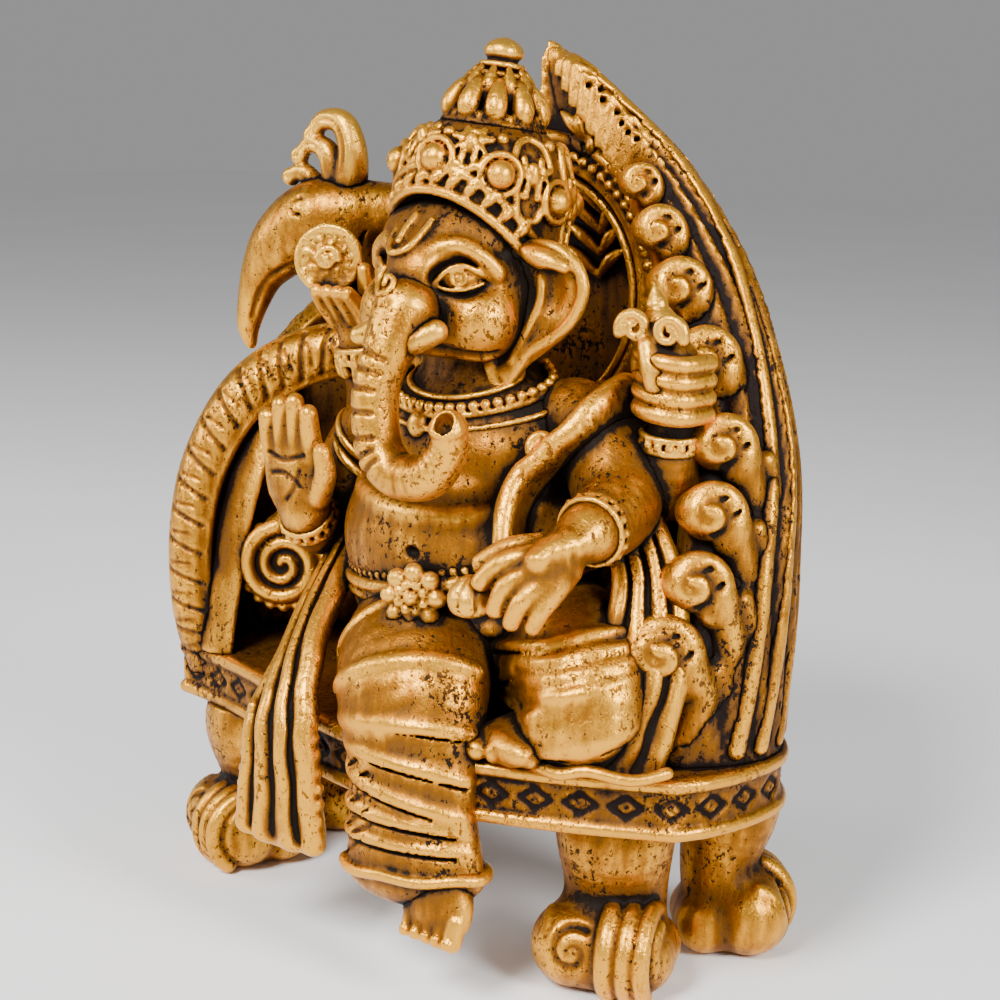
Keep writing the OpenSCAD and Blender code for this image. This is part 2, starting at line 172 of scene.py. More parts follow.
def beads(points, radius, pitch):
    """Row of balls along a curve, pitch apart."""
    p = spline(points, 12)[:, :3]
    gap = np.linalg.norm(np.diff(p, axis=0), axis=1)
    run = np.concatenate([[0], np.cumsum(gap)])
    count = max(2, int(run[-1] / pitch))
    shapes = []
    for s in np.linspace(0, run[-1], count + 1):
        shapes += ball([float(np.interp(s, run, p[:, k])) for k in range(3)], radius)
    return shapes


def disc(centre, radius, half, axis):
    """Short round plate with softened rims, facing along axis."""
    c, n, soft = vec(*centre), unit(axis), 0.6

    def fn(x, y, z):
        px, py, pz = x - c[0], y - c[1], z - c[2]
        h = px * n[0] + py * n[1] + pz * n[2]
        r = np.sqrt(np.maximum(px * px + py * py + pz * pz - h * h, 0))
        dr, dh = r - radius + soft, np.abs(h) - half + soft
        return np.minimum(np.maximum(dr, dh), 0) + np.hypot(np.maximum(dr, 0), np.maximum(dh, 0)) - soft

    reach = radius + half
    return [Shape(c - reach, c + reach, fn)]


def ring(centre, radius, rope_radius, axis):
    """Torus round an axis."""
    c, n = vec(*centre), unit(axis)

    def fn(x, y, z):
        px, py, pz = x - c[0], y - c[1], z - c[2]
        h = px * n[0] + py * n[1] + pz * n[2]
        r = np.sqrt(np.maximum(px * px + py * py + pz * pz - h * h, 0))
        return np.hypot(r - radius, h) - rope_radius

    reach = radius + rope_radius
    return [Shape(c - reach, c + reach, fn)]


def curl_path(centre, size, turns, start, right, upward, hand=1, rope_radius=1.0, tail=0.22, count=22):
    """Rows along a flat spiral from its rim to near its centre, in the plane of right and upward."""
    c, u, v = vec(*centre), unit(right), unit(upward)
    rows = []
    for k in range(count + 1):
        f = k / count
        a = math.radians(start + hand * 360 * turns * f)
        r = size * (1 - f) + size * tail * f
        rows.append([*(c + u * r * math.cos(a) + v * r * math.sin(a)), rope_radius * (1 - 0.45 * f)])
    return rows


def around(rows, f, start, stop, up=(0, 1, 0), lift=0.0, slant=0.0, count=10):
    """Points part of the way round a limb, at fraction f of its length. -90 degrees is its front."""
    p = spline(rows, 8)
    i = min(int(f * (len(p) - 1)), len(p) - 2)
    c = p[i] + (p[i + 1] - p[i]) * (f * (len(p) - 1) - i)
    along = unit(p[i + 1, :3] - p[i, :3])
    wide = unit(np.cross(along, up))
    thick = np.cross(wide, along)
    rw, rt = c[3] + lift, c[-1] + lift
    out = []
    for k in range(count + 1):
        t = k / count
        a = math.radians(start + (stop - start) * t)
        out.append(c[:3] + wide * rw * math.cos(a) + thick * rt * math.sin(a) + along * slant * (t - 0.5))
    return out


def turned(profile, base, lean=(0, 0, 0)):
    """Solid turned about its own upright axis; profile is rows of height, radius."""
    b, m = vec(*base), turn(lean)
    p = spline(profile, 6)
    top, wide = float(p[:, 0].max()), float(p[:, 1].max())

    def fn(x, y, z):
        px, py, pz = x - b[0], y - b[1], z - b[2]
        q = [m[0, k] * px + m[1, k] * py + m[2, k] * pz for k in range(3)]
        r = np.hypot(q[0], q[1]) - np.interp(q[2], p[:, 0], p[:, 1])
        return np.maximum(0.8 * r, np.maximum(p[0, 0] - q[2], q[2] - top))

    reach = np.abs(m) @ vec(wide, wide, 0)
    ends = np.array([b + m @ vec(0, 0, p[0, 0]), b + m @ vec(0, 0, top)])
    return [Shape(ends.min(0) - reach, ends.max(0) + reach, fn)]


def slab(outline, low_z, high_z, soft=0.8):
    """Flat plate with that outline between two heights, with softened edges."""
    p = np.asarray(outline, np.float32)

    def fn(x, y, z):
        near = np.full(np.broadcast(x, y).shape, 1e9, np.float32)
        side = np.ones_like(near)
        for a, b in zip(p, np.roll(p, -1, 0)):
            ex, ey = b - a
            wx, wy = x - a[0], y - a[1]
            t = np.clip((wx * ex + wy * ey) / (ex * ex + ey * ey), 0, 1)
            near = np.minimum(near, (wx - ex * t) ** 2 + (wy - ey * t) ** 2)
            over = (y >= a[1]) & (y < b[1]) & (ex * wy > ey * wx)
            under = (y < a[1]) & (y >= b[1]) & (ex * wy < ey * wx)
            side = np.where(over | under, -side, side)
        d = side * np.sqrt(near) + soft
        h = np.abs(z - (low_z + high_z) / 2) - (high_z - low_z) / 2 + soft
        return np.minimum(np.maximum(d, h), 0) + np.hypot(np.maximum(d, 0), np.maximum(h, 0)) - soft

    return [Shape([*p.min(0), low_z], [*p.max(0), high_z], fn)]


def below(height):
    """Everything under a height, for cutting a part flat."""
    return [Shape((-200, -200, height - 30), (200, 200, height), lambda x, y, z: z - height + 0 * (x + y))]


def above(height):
    """Everything over a height, for cutting a part flat."""
    return [Shape((-200, -200, height), (200, 200, height + 20), lambda x, y, z: height - z + 0 * (x + y))]


def smooth_min(a, b, k):
    """The lesser of two fields, with a fillet of size k where they cross."""
    if k <= 0:
        return np.minimum(a, b)
    h = np.maximum(k - np.abs(a - b), 0) / k
    return np.minimum(a, b) - h * h * (k / 4)


def touch(shapes, points, direction, lift=0.0):
    """Moves points along direction until they meet the surface of shapes, then back out by lift.
    A point that would miss goes to the nearest surface instead."""
    start = np.asarray([q[:3] for q in points], np.float32)
    n = unit(direction)

    def away(p):
        return np.min([s.fn(p[:, 0], p[:, 1], p[:, 2]) for s in shapes], 0)

    p = start.copy()
    for _ in range(40):
        p += n * np.clip(0.7 * away(p), -3, 3)[:, None]
    p = np.where((np.abs(away(p)) < 0.6)[:, None], p, start)
    for _ in range(12):
        d = away(p)
        slope = np.stack([away(p + step) - d for step in np.eye(3, dtype=np.float32) * 0.1], 1)
        slope /= np.maximum(np.linalg.norm(slope, axis=1), 1e-6)[:, None]
        p -= slope * np.clip(0.8 * d, -3, 3)[:, None]
    return p - n * lift


class Clay:
    """Named parts that are sculpted separately, blended where they meet, and parted again along the seams."""

    def __init__(self, step):
        self.step = step * COARSE
        self.work = {}
        self.join = {}

    def part(self, name, join):
        """Starts a part, which meets its neighbours with a fillet of about join."""
        self.work[name] = self.current = []
        self.join[name] = join

    def add(self, shapes, blend):
        """Adds shapes to the part with a fillet of about blend."""
        self.current.append(("add", shapes, blend))

    def carve(self, shapes, blend):
        """Cuts shapes out of the part."""
        self.current.append(("carve", shapes, blend))

    def window(self, low, high, pad):
        span = []
        for k in range(3):
            n = len(self.axes[k])
            i = int((low[k] - pad - self.low[k]) / self.step)
            j = int((high[k] + pad - self.low[k]) / self.step) + 2
            span.append(slice(min(max(i, 0), n), max(min(j, n), 0)))
        return tuple(span)

    def coordinates(self, span):
        x, y, z = (self.axes[k][span[k]] for k in range(3))
        return x[:, None, None], y[None, :, None], z[None, None, :]

    def sculpt(self, name):
        """One part's own field, as a window and its values."""
        adds = [s for op, shapes, _ in self.work[name] if op == "add" for s in shapes]
        low, high = np.min([s.low for s in adds], 0), np.max([s.high for s in adds], 0)
        span = self.window(low, high, 4 * self.step + 1.5)
        field = np.full([s.stop - s.start for s in span], FAR, np.float32)
        for op, shapes, blend in self.work[name]:
            pad = blend + 3 * self.step
            box = self.window(np.min([s.low for s in shapes], 0), np.max([s.high for s in shapes], 0), pad)
            box = tuple(slice(max(b.start, s.start), min(b.stop, s.stop)) for b, s in zip(box, span))
            if min(b.stop - b.start for b in box) <= 0:
                continue
            d = np.full([b.stop - b.start for b in box], FAR, np.float32)
            for s in shapes:
                w = self.window(s.low, s.high, pad)
                w = tuple(slice(max(a.start, b.start), min(a.stop, b.stop)) for a, b in zip(w, box))
                if min(a.stop - a.start for a in w) <= 0:
                    continue
                inner = tuple(slice(a.start - b.start, a.stop - b.start) for a, b in zip(w, box))
                d[inner] = np.minimum(d[inner], s.fn(*self.coordinates(w)))
            place = tuple(slice(b.start - s.start, b.stop - s.start) for b, s in zip(box, span))
            if op == "add":
                field[place] = smooth_min(field[place], d, blend)
            else:
                field[place] = -smooth_min(-field[place], d, blend)
        return span, field

    def meshes(self):
        """Builds every part. Returns {name: (vertices in mm, triangles, quads, relief at each vertex)}."""
        adds = [s for work in self.work.values() for op, shapes, _ in work if op == "add" for s in shapes]
        low, high = np.min([s.low for s in adds], 0), np.max([s.high for s in adds], 0)
        self.low = low - 5 * self.step
        count = [int((high[k] - self.low[k]) / self.step) + 7 for k in range(3)]
        self.axes = [self.low[k] + self.step * np.arange(count[k], dtype=np.float32) for k in range(3)]
        whole = np.full(count, FAR, np.float32)
        nearest = np.full(count, FAR, np.float32)
        second = np.full(count, FAR, np.float32)
        owner = np.zeros(count, np.int8)
        fields = {}
        for index, name in enumerate(self.work):
            span, field = self.sculpt(name)
            fields[name] = span, field
            whole[span] = smooth_min(whole[span], field, self.join[name])
            closer = field < nearest[span]
            second[span] = np.where(closer, nearest[span], np.minimum(second[span], field))
            nearest[span] = np.where(closer, field, nearest[span])
            owner[span] = np.where(closer, index, owner[span])
        relief = self.relief(whole)
        out = {}
        for index, name in enumerate(self.work):
            span, field = fields[name]
            other = np.where(owner[span] == index, second[span], nearest[span])
            own = np.maximum(whole[span], 0.5 * (field - other))
            out[name] = self.surface(own, span, relief)
        return out

    def relief(self, field):
        """How far each place stands out of its surroundings: above 0 on ridges, below 0 in grooves."""
        total = 0
        for reach, weight in ((0.9, 0.6), (2.6, 0.7)):
            n = max(1, int(round(reach / self.step)))
            f = np.clip(field, -reach, reach)
            for _ in range(2):
                for axis in range(3):
                    f = box_blur(f, n, axis)
            total = total + weight * f / reach
        return total

    def surface(self, field, span, relief):
        low = np.array([self.axes[k][span[k].start] for k in range(3)], np.float32)
        grid = openvdb.FloatGrid(background=3.0)
        f = np.clip(field / self.step, -3, 3)
        for axis in range(3):
            edge = [slice(None)] * 3
            for side in (0, -1):
                edge[axis] = side
                f[tuple(edge)] = 3
        grid.copyFromArray(f)
        points, triangles, quads = grid.convertToPolygons(isovalue=0.0, adaptivity=0.0)
        where = points + np.array([s.start for s in span], np.float32)
        return points * self.step + low, triangles, quads, sample(relief, where)


def box_blur(f, n, axis):
    """Mean over 2n + 1 neighbours along one axis."""
    pad = [(0, 0)] * 3
    pad[axis] = (n + 1, n)
    total = np.cumsum(np.pad(f, pad, mode="edge"), axis=axis, dtype=np.float32)
    width = 2 * n + 1
    front, back = [slice(None)] * 3, [slice(None)] * 3
    front[axis], back[axis] = slice(width, None), slice(None, -width)
    return (total[tuple(front)] - total[tuple(back)]) / width


def sample(values, where):
    """Value of a grid at places given in grid steps."""
    w = np.clip(where, 0, np.array(values.shape) - 1.001)
    i = w.astype(np.int32)
    f = (w - i).astype(np.float32)
    total = 0
    for corner in range(8):
        o = [(corner >> k) & 1 for k in range(3)]
        weight = np.prod([f[:, k] if o[k] else 1 - f[:, k] for k in range(3)], 0)
        total = total + weight * values[i[:, 0] + o[0], i[:, 1] + o[1], i[:, 2] + o[2]]
    return total


# ---------------------------------------------------------------- head and crown
CROWN_BASE = vec(7.5, -3, 158)
CROWN_LEAN = (-6, 4, 0)
LOOK = (-0.58, 0.79, -0.2)
AHEAD = (-0.1, 1, -0.2)
RIM_LOW = -8.5
RIM_RISE = 16.4


def crown_at(angle, radius, height):
    """Point on the crown's own axis frame; angle 0 is its front and 90 its left."""
    a = math.radians(angle)
    return CROWN_BASE + turn(CROWN_LEAN) @ vec(radius * math.sin(a), -radius * math.cos(a), height)


CROWN_UP = crown_at(0, 0, 1) - crown_at(0, 0, 0)


def crown_radius(height):
    """Radius of the dome at a height above its base."""
    return float(np.interp(height, [0, 6, 10, 15, 20, 23, 26], [18.5, 18.6, 18.8, 18.4, 16, 13, 10]))


def crown_line(rows, radius):
    """Raised line on the dome through rows of angle, height."""
    return rope([crown_at(a, crown_radius(h) + 0.2, h) for a, h in rows], radius)


def surface_frame(point, outward):
    """Returns place(right, up, out) for a spot on the skin."""
    p, n = vec(*point), unit(outward)
    right = unit(np.cross((0, 0, 1), n))
    upward = np.cross(n, right)
    return lambda a, b, h=0.0: p + right * a + upward * b + n * h


BROWS = egg((13, -11, 157), (9, 9, 8)) + egg((-1, -11, 157), (9, 9, 8))
HEAD_MASS = egg((6, -4, 149), (19.5, 19, 19)) + BROWS
FACE = limb([[6, -10, 157, 12], [6.6, -17, 154, 9], [7, -21, 151, 8]])
CHEEKS = egg((16.5, -14, 141.5), (9, 9, 9)) + egg((-4.5, -14, 141.5), (9, 9, 9))
TRUNK = [
    [6.5, -17, 155, 9],
    [7, -23, 149.5, 8.2],
    [7.8, -28, 143.5, 7],
    [7.2, -31.4, 137.4, 5.8],
    [6.2, -33.6, 132, 5.2],
    [5.8, -35, 126, 5],
    [7, -35.6, 117, 5],
    [9.6, -36, 113, 5],
    [13.6, -36, 110.6, 4.9],
    [20.6, -36, 111.2, 4.7],
    [25, -36, 115.4, 4.3],
    [26.6, -36.4, 119.6, 3.8],
    [26.7, -37, 122.2, 3.8]
]


def sculpt_head(clay):
    clay.part("head", 1.0)
    clay.add(HEAD_MASS, 4)
    clay.add(CHEEKS, 3)
    clay.add(FACE, 4)
    clay.add(egg((8, -17, 138), (8, 7, 5)), 3)
    for side in (1, -1):
        sculpt_eye(clay, side)
    skin = HEAD_MASS + FACE + limb(TRUNK[:3])
    mark = [
        [
            (0.4, -26, 163), (0.6, -28, 159), (3, -29, 156), (6, -29, 155.6), (8.4, -29, 157),
            (9.6, -28, 160), (10, -26, 163)
        ],
        [(5.4, -26, 164), (5, -28, 161), (4.8, -29, 158)]
    ]
    for line in mark:
        clay.add(rope(touch(skin, line, AHEAD, 0.2), 0.75), 0.3)
    clay.carve(rope(touch(
        skin, [(2.4, -26, 162.4), (3, -28, 159.4), (4.4, -29, 157.4)], AHEAD, 0
    ), 0.6), 0.2)
    clay.carve(rope(touch(
        skin, [(7.6, -26, 162.4), (7.6, -28, 159.4), (6.6, -29, 157.4)], AHEAD, 0
    ), 0.6), 0.2)
    comma = [
        (4, -30, 152.4), (3.2, -30, 149.4), (4.4, -30, 146.8), (7.2, -30, 147), (8, -30, 149.6),
        (6, -30, 150.6), (5.6, -30, 148.8)
    ]
    clay.add(rope(touch(skin, comma, AHEAD, 0.1), 0.6), 0.3)


def sculpt_trunk(clay):
    clay.part("trunk", 1.2)
    clay.add(limb(TRUNK[2:], 5), 1)
    upper = limb(TRUNK[:4])
    clay.carve(ball(touch(upper, [(6, -60, 153)], AHEAD, 0)[0], 0.8), 0.2)
    for k in range(4):
        dot = touch(upper, [(3.4 + 1.7 * k, -60, 144.6 + 0.3 * k)], (0, 1, 0), 0)[0]
        clay.carve(ball(dot, 0.5), 0.2)
    for k in range(7):
        arc = around(TRUNK[2:], 0.165 + 0.055 * k, -195, -58, (0, 1, 0.3), 0.1, 0.8)
        clay.carve(rope(arc, 0.72, 2), 0.5)
    for k in range(10):
        arc = around(TRUNK[2:], 0.56 + 0.035 * k, -100, 40, (0, 1, 0.3), 0.2, 0)
        clay.carve(rope(arc, 0.26, 2), 0.5)
    clay.add(ring((26.7, -37.2, 122.2), 3.0, 1.1, (0.1, -0.3, 1)), 0.6)
    clay.carve(egg((27.2, -38.8, 122.8), (2.1, 2.2, 2.9)), 0.6)


def sculpt_tusks(clay):
    clay.part("tusks", 0.2)
    clay.add(limb([[9.6, -31.5, 136.6, 2.9], [12.6, -29.8, 138.2, 3], [15.6, -27.6, 139.8, 2.6]]), 0.5)
    clay.add(egg((10.4, -31.6, 138.6), (2.8, 2.6, 3)), 0.8)
    clay.add(limb([[3, -27, 141, 2.8], [-0.6, -28.5, 138.5, 2.6], [-3, -29.6, 137.6, 2.1]]), 0.5)


def sculpt_eye(clay, side):
    """Almond eye with lids, brow and cheek folds; side is 1 for the idol's left."""
    def there(x, y, z):
        return (6 + side * x, y, z)
    eye = surface_frame(there(10.2, -20.7, 150.5), (side * 0.6, -0.79, 0.12))
    out = eye(0, 0, 1) - eye(0, 0, 0)
    clay.carve(egg(eye(0.6 * side, 0, 1.4), (7, 3.4, 3.8), (0, 0, side * 37)), 2)
    clay.add(egg(eye(0, 0, -1.9), (4.9, 3.4, 2.9), (0, 0, side * 37)), 0.3)
    upper = [
        eye(-5.4 * side, -1.6, 0.2), eye(-2.8 * side, 1.3, 1.1), eye(0.2 * side, 2.5, 1.2),
        eye(3.2 * side, 1.6, 0.6), eye(7 * side, -0.6, -1.4)
    ]
    lower = [
        eye(-5.4 * side, -1.6, 0.2), eye(-2.2 * side, -2.5, 1), eye(1.6 * side, -2.3, 0.9),
        eye(5 * side, -1, -0.3)
    ]
    clay.add(rope(upper, 0.6), 0.3)
    clay.add(rope(lower, 0.45), 0.3)
    crease = [
        eye(-5.4 * side, 0.6, 0.9), eye(-2.2 * side, 3.4, 1.6), eye(2.4 * side, 3.9, 1),
        eye(7 * side, 1.2, -1)
    ]
    clay.carve(rope(crease, 0.5), 0.3)
    clay.add(ring(eye(-0.2 * side, 0, 1.2), 1.5, 0.4, out), 0.2)
    clay.carve(ring(eye(-0.2 * side, 0, 1.5), 1.05, 0.25, out), 0.1)
    clay.add(ball(eye(-0.2 * side, 0, 1.2), 0.5), 0.1)
    brow = [
        there(2.2, -24, 152), there(4.6, -23.2, 155.4), there(9.2, -20.6, 157.2), there(13.6, -17.6, 155),
        there(15.8, -15, 151.8)
    ]
    clay.add(rope(brow, 1.8), 1.6)
    clay.carve(limb([
        [*there(5.6, -25.2, 147.4), 1.2], [*there(6.6, -26.4, 143.4), 1.8], [*there(6.4, -26.4, 139.4), 1.6]
    ]), 1.2)
    clay.carve(limb([
        [*there(6, -23, 134.8), 2.2], [*there(11, -20, 133), 2.6], [*there(15.5, -15.5, 134.6), 1.6]
    ]), 1.2)
    for k in range(3):
        line = [eye((6.6 + k) * side, -1.6 - 0.8 * k, -1.4), eye((8.6 + k) * side, -4 - k, -2.4)]
        clay.carve(rope(line, 0.35), 0.3)


def sculpt_ear(clay, name, side):
    """The idol's left ear fans out; its right one is pressed back beside the bird's neck."""
    def at(x, y, z, *rest):
        return [6 + x, y, z, *rest] if side > 0 else [6 - 0.66 * x, y + 4, z, *rest]
    clay.part(name, 1.2)
    clay.add(limb([
        at(19, -8, 154.6, 4, 1.8),
        at(24, -7, 151, 7, 1.8),
        at(23.6, -7, 146, 8, 1.8),
        at(21, -7.6, 141, 6.4, 1.8),
        at(17, -9, 135, 4.4, 1.8),
        at(14.8, -10.4, 130, 2.6, 1.8)
    ], 5), 1.2)
    rim = [
        at(17, -10, 155.6), at(21, -9.4, 157.4), at(26, -8.4, 157), at(30.6, -7.6, 153.6),
        at(32.4, -7.6, 148.4)
    ]
    rim += [
        at(30, -7.8, 142.6), at(26, -8.4, 138.6), at(20.4, -9.4, 135), at(17.4, -10, 130.4),
        at(14.8, -11, 126.6)
    ]
    rim += [at(12.6, -11.6, 130), at(12, -12.4, 136), at(14.4, -12.6, 142.4), at(16.4, -12, 149)]
    clay.add(rope(rim, 1.35, 5), 0.8)
    clay.add(egg(at(24.6, -10.6, 154.8), (6, 2.6, 2.4), (0, 18 * side, 10 * side)), 1)
    clay.carve(egg(at(26, -11.2, 147.6), (4.6, 3.8, 5.6)), 1)
    clay.carve(egg(at(19.6, -12, 146), (3.6, 3.6, 7)), 1)
    clay.add(rope([at(22.4, -8.6, 151), at(22.6, -9, 146), at(20.4, -10, 140), at(17, -11, 133)], 1), 0.8)
    clay.carve(rope([at(17.6, -11, 152), at(17.4, -11, 146), at(15.8, -12, 140)], 0.7), 0.5)


def sculpt_ears(clay):
    sculpt_ear(clay, "left_ear", 1)
    sculpt_ear(clay, "right_ear", -1)


def rim_height(angle):
    """The crown's edge is high on the brow and dips to the ears."""
    return RIM_LOW + RIM_RISE * max(math.cos(math.radians(angle)), 0)


def sculpt_crown(clay):
    clay.part("crown", 0.8)
    dome = [[-9.4, 17.6], [0, 18], [9, 18.4], [14, 18], [19, 15.8], [22.5, 12.6], [25, 9]]
    clay.add(turned(dome, CROWN_BASE, CROWN_LEAN), 0.5)
    lean = turn(CROWN_LEAN)

    def brow(x, y, z):
        p = [x - CROWN_BASE[0], y - CROWN_BASE[1], z - CROWN_BASE[2]]
        q = [lean[0, k] * p[0] + lean[1, k] * p[1] + lean[2, k] * p[2] for k in range(3)]
        front = np.maximum(-q[1] / np.maximum(np.hypot(q[0], q[1]), 1e-3), 0)
        return 0.7 * (q[2] - RIM_LOW - RIM_RISE * front)

    clay.carve([Shape((-20, -30, 140), (35, 25, 176), brow)], 0.6)
    for lift, thick in ((0.6, 1.1), (5.6, 0.95)):
        clay.add(crown_line([(a, rim_height(a) + lift) for a in range(0, 361, 12)], thick), 0.4)
    for k in range(30):
        a = 12 * k
        low = rim_height(a)
        leaf = [
            [*crown_at(a, 18.4, low + 1.4), 0.6], [*crown_at(a + 4, 19.2, low + 3.2), 1.25],
            [*crown_at(a + 9, 18.6, low + 5), 0.5]
        ]
        clay.add(limb(leaf, 3), 0.3)
        clay.add(ball(crown_at(a + 2, 19, low + 4.4), 0.6), 0.2)
    for k in range(8):
        a = 45 * k
        bulge = 9.5 + 5.6 * max(math.cos(math.radians(a)), 0)
        far = crown_radius(bulge)
        clay.add(egg(crown_at(a, far + 0.2, bulge), (3.1, 3.1, 3.1)), 0.5)
        clay.add(ring(
            crown_at(a, far + 0.2, bulge), 4.2, 0.75, crown_at(a, 9, bulge) - crown_at(a, 0, bulge - 1)
        ), 0.3)
        for side in (-1, 1):
            b = a + 22.5
            low = rim_height(b) + 7
            mid = (low + 22) / 2
            swirl = [
                (b + side * 1, low), (b + side * 8, low + 1), (b + side * 11, mid - 1.4),
                (b + side * 6, mid + 0.6), (b + side * 4, mid - 2)
            ]
            clay.add(crown_line(swirl, 0.85), 0.3)
            scroll = [
                (b + side * 2, 21.4), (b + side * 11, 20), (b + side * 14, mid + 2.4),
                (b + side * 7, mid + 2), (b + side * 7, mid + 4)
            ]
            clay.add(crown_line(scroll, 0.8), 0.3)
            clay.add(ball(crown_at(b + side * 5, crown_radius(mid - 3.4), mid - 3.4), 1.1), 0.2)
            clay.carve(ball(crown_at(b + side * 8, crown_radius(mid) + 0.2, mid - 0.6), 0.9), 0.3)
        clay.add(egg(crown_at(a + 22.5, crown_radius(mid + 1), mid + 1), (1.5, 1.5, 2.6)), 0.2)
        clay.carve(ball(crown_at(a + 22.5, crown_radius(mid + 5), mid + 5), 0.9), 0.2)
        clay.add(ball(crown_at(a, crown_radius(21), 20.6), 1.3), 0.2)


def sculpt_crown_tier(clay):
    clay.part("crown_tier", 0.5)
    clay.add(turned([[22, 10.4], [26, 8.4], [30, 6.4], [34.5, 4.6]], CROWN_BASE, CROWN_LEAN), 0.3)
    clay.add(ring(crown_at(0, 0, 23.4), 10.4, 1.2, CROWN_UP), 0.3)
    for k in range(10):
        a = 36 * k
        petal = [
            [*crown_at(a, 9.6, 24), 1.4], [*crown_at(a, 9.8, 27), 2.4], [*crown_at(a, 8.2, 30.6), 1.8],
            [*crown_at(a, 6.4, 32.8), 0.7]
        ]
        clay.add(limb(petal, 4), 0.3)
        clay.add(ball(crown_at(a + 18, 9.8, 24.8), 1.3), 0.2)
        bud = [
            [*crown_at(a + 18, 6.8, 29), 1.2], [*crown_at(a + 18, 6.4, 32), 1.8],
            [*crown_at(a + 18, 5, 35.6), 0.6]
        ]
        clay.add(limb(bud, 3), 0.2)


def sculpt_crown_finial(clay):
    clay.part("crown_finial", 0.3)
    knob = [
        [33, 5.4], [34.4, 5.6], [35.2, 3.6], [36.2, 4.8], [37.2, 3.2], [38.6, 4.2], [40.2, 4], [41.6, 2.4],
        [42.3, 0.4]
    ]
    clay.add(turned(knob, CROWN_BASE, CROWN_LEAN), 0.3)
    for height, radius in ((34.2, 5.5), (36.3, 4.4)):
        clay.add(ring(crown_at(0, 0, height), radius, 0.7, CROWN_UP), 0.2)


# ---------------------------------------------------------------- body, arms and drapery
RIGHT_LEG = [
    [0, -2, 69, 14, 14],
    [3, -13, 70, 16, 15],
    [9, -24, 70, 17, 14],
    [15, -32, 64, 17, 12.5],
    [18.5, -36, 53, 15.5, 9.5],
    [19.5, -37.5, 42, 15, 8.6],
    [20.5, -38, 33, 16, 8.2],
    [21, -38, 27.5, 17.2, 8]
]
LEFT_LEG = [
    [20, -2, 71, 13, 13],
    [35, -8, 74, 14, 14],
    [45, -14, 73, 14, 13.5],
    [50, -19, 68, 13, 12],
    [50, -22, 61, 13, 10]
]
HIP_DRAPE = [
    [-23, -8, 85, 5, 3],
    [-20, -22, 74, 7, 3],
    [-16, -35, 62, 8.5, 3],
    [-14, -41, 53, 9.5, 3],
    [-13, -42.4, 42, 10, 2.8],
    [-13.5, -42, 27.5, 12, 2.6]
]
SHAWL = [
    [42, 10, 116, 6, 3],
    [45.5, 1, 124, 7, 3],
    [43.5, -8, 121.4, 7, 3],
    [38, -12.6, 116, 6.6, 2.8],
    [33, -16, 110, 6.2, 2.6],
    [32, -20.6, 103.4, 6, 2.6],
    [33.5, -24, 96, 5.4, 2.4]
]
SEAT_DRAPE = [
    [52, -6, 102, 4, 3],
    [58, -9, 90, 6.5, 3.2],
    [61, -15, 74, 9, 3.6],
    [59, -20, 62, 11, 3.8],
    [57, -23, 54.6, 13, 3.6]
]
CHEST = egg((19, -12, 113), (11, 9, 8)) + egg((0, -12, 113), (10, 9, 8))
BELLY = egg((8, 3, 70), (32, 24, 17)) + egg((10, -3, 92), (32, 27, 25)) + egg((10, -2, 114), (27, 20, 18))


def stripes(rows, offsets, radius, up, lift):
    """Lines that run the length of a flat limb, at offsets from -1 to 1 across its front."""
    p = spline(rows, 10)
    lines = []
    for j, o in enumerate(offsets):
        line = []
        for i in range(1, len(p) - 1, 2):
            along = unit(p[i + 1, :3] - p[i - 1, :3])
            wide = unit(np.cross(along, up))
            thick = np.cross(wide, along)
            s = o + 0.024 * math.sin(0.7 * i + 2.3 * j)
            depth = math.sqrt(max(0.0, 1 - s * s))
            line.append([*(p[i, :3] + wide * p[i, 3] * s - thick * (p[i, 4] * depth + lift)), radius])
        lines += limb(line, 2)
    return lines


def fold(clay, points, size):
    """A raised crease with a sharp valley under it."""
    clay.add(rope(points, size), size * 1.6)
    drop = vec(0, 0, -1.15 * size)
    clay.carve(rope([vec(*q[:3]) + drop for q in points], 0.7), 0.5)


def finger(clay, rows, nail=None):
    """Finger or toe along rows, with a nail or pad of that size at its tip."""
    clay.add(limb(rows, 3), 0.7)
    if nail is not None:
        clay.add(egg(rows[-1][:3], nail), 0.2)


def bead_band(clay, centre, radius, axis):
    """Bangle: two plain rings with a row of beads between them."""
    n = unit(axis)
    u = unit(np.cross(n, (0.31, 0.2, 0.9)))
    v = np.cross(n, u)
    c = vec(*centre)
    for side in (-1, 1):
        clay.add(ring(c + n * side * 1.4, radius, 0.75, n), 0.3)
    for k in range(16):
        a = 2 * math.pi * k / 16
        clay.add(ball(c + (u * math.cos(a) + v * math.sin(a)) * (radius + 0.2), 1.0), 0.2)


def sculpt_torso(clay):
    clay.part("torso", 1.4)
    clay.add(BELLY[:1], 1)
    clay.add(BELLY[1:2], 6)
    clay.add(BELLY[2:], 5)
    clay.add(CHEST, 4)
    clay.add(limb([[9, 1, 120, 14], [8, -2, 130, 12], [7, -3, 137, 11]]), 4)
    clay.carve(below(SEAT_TOP), 0.4)
    for low, drop in ((108.5, 0.0), (104.5, 1.5), (79.5, 0.6)):
        line = []
        for a in np.linspace(-1.1, 1.1, 9):
            q = (10 + 40 * math.sin(a), -3 - 40 * math.cos(a), low - drop * math.cos(2 * a))
            line.append(touch(BELLY, [q], (10 - q[0], -3 - q[1], 0), 0.0)[0])
        clay.carve(rope(line, 0.55), 0.9)
        clay.add(rope([q + vec(0, 0, -2.2) for q in line], 1.6), 2.6)
    clay.carve(egg(touch(BELLY, [(12, -50, 93)], (0, 1, 0), 0)[0], (1.8, 2, 1.3)), 1.2)


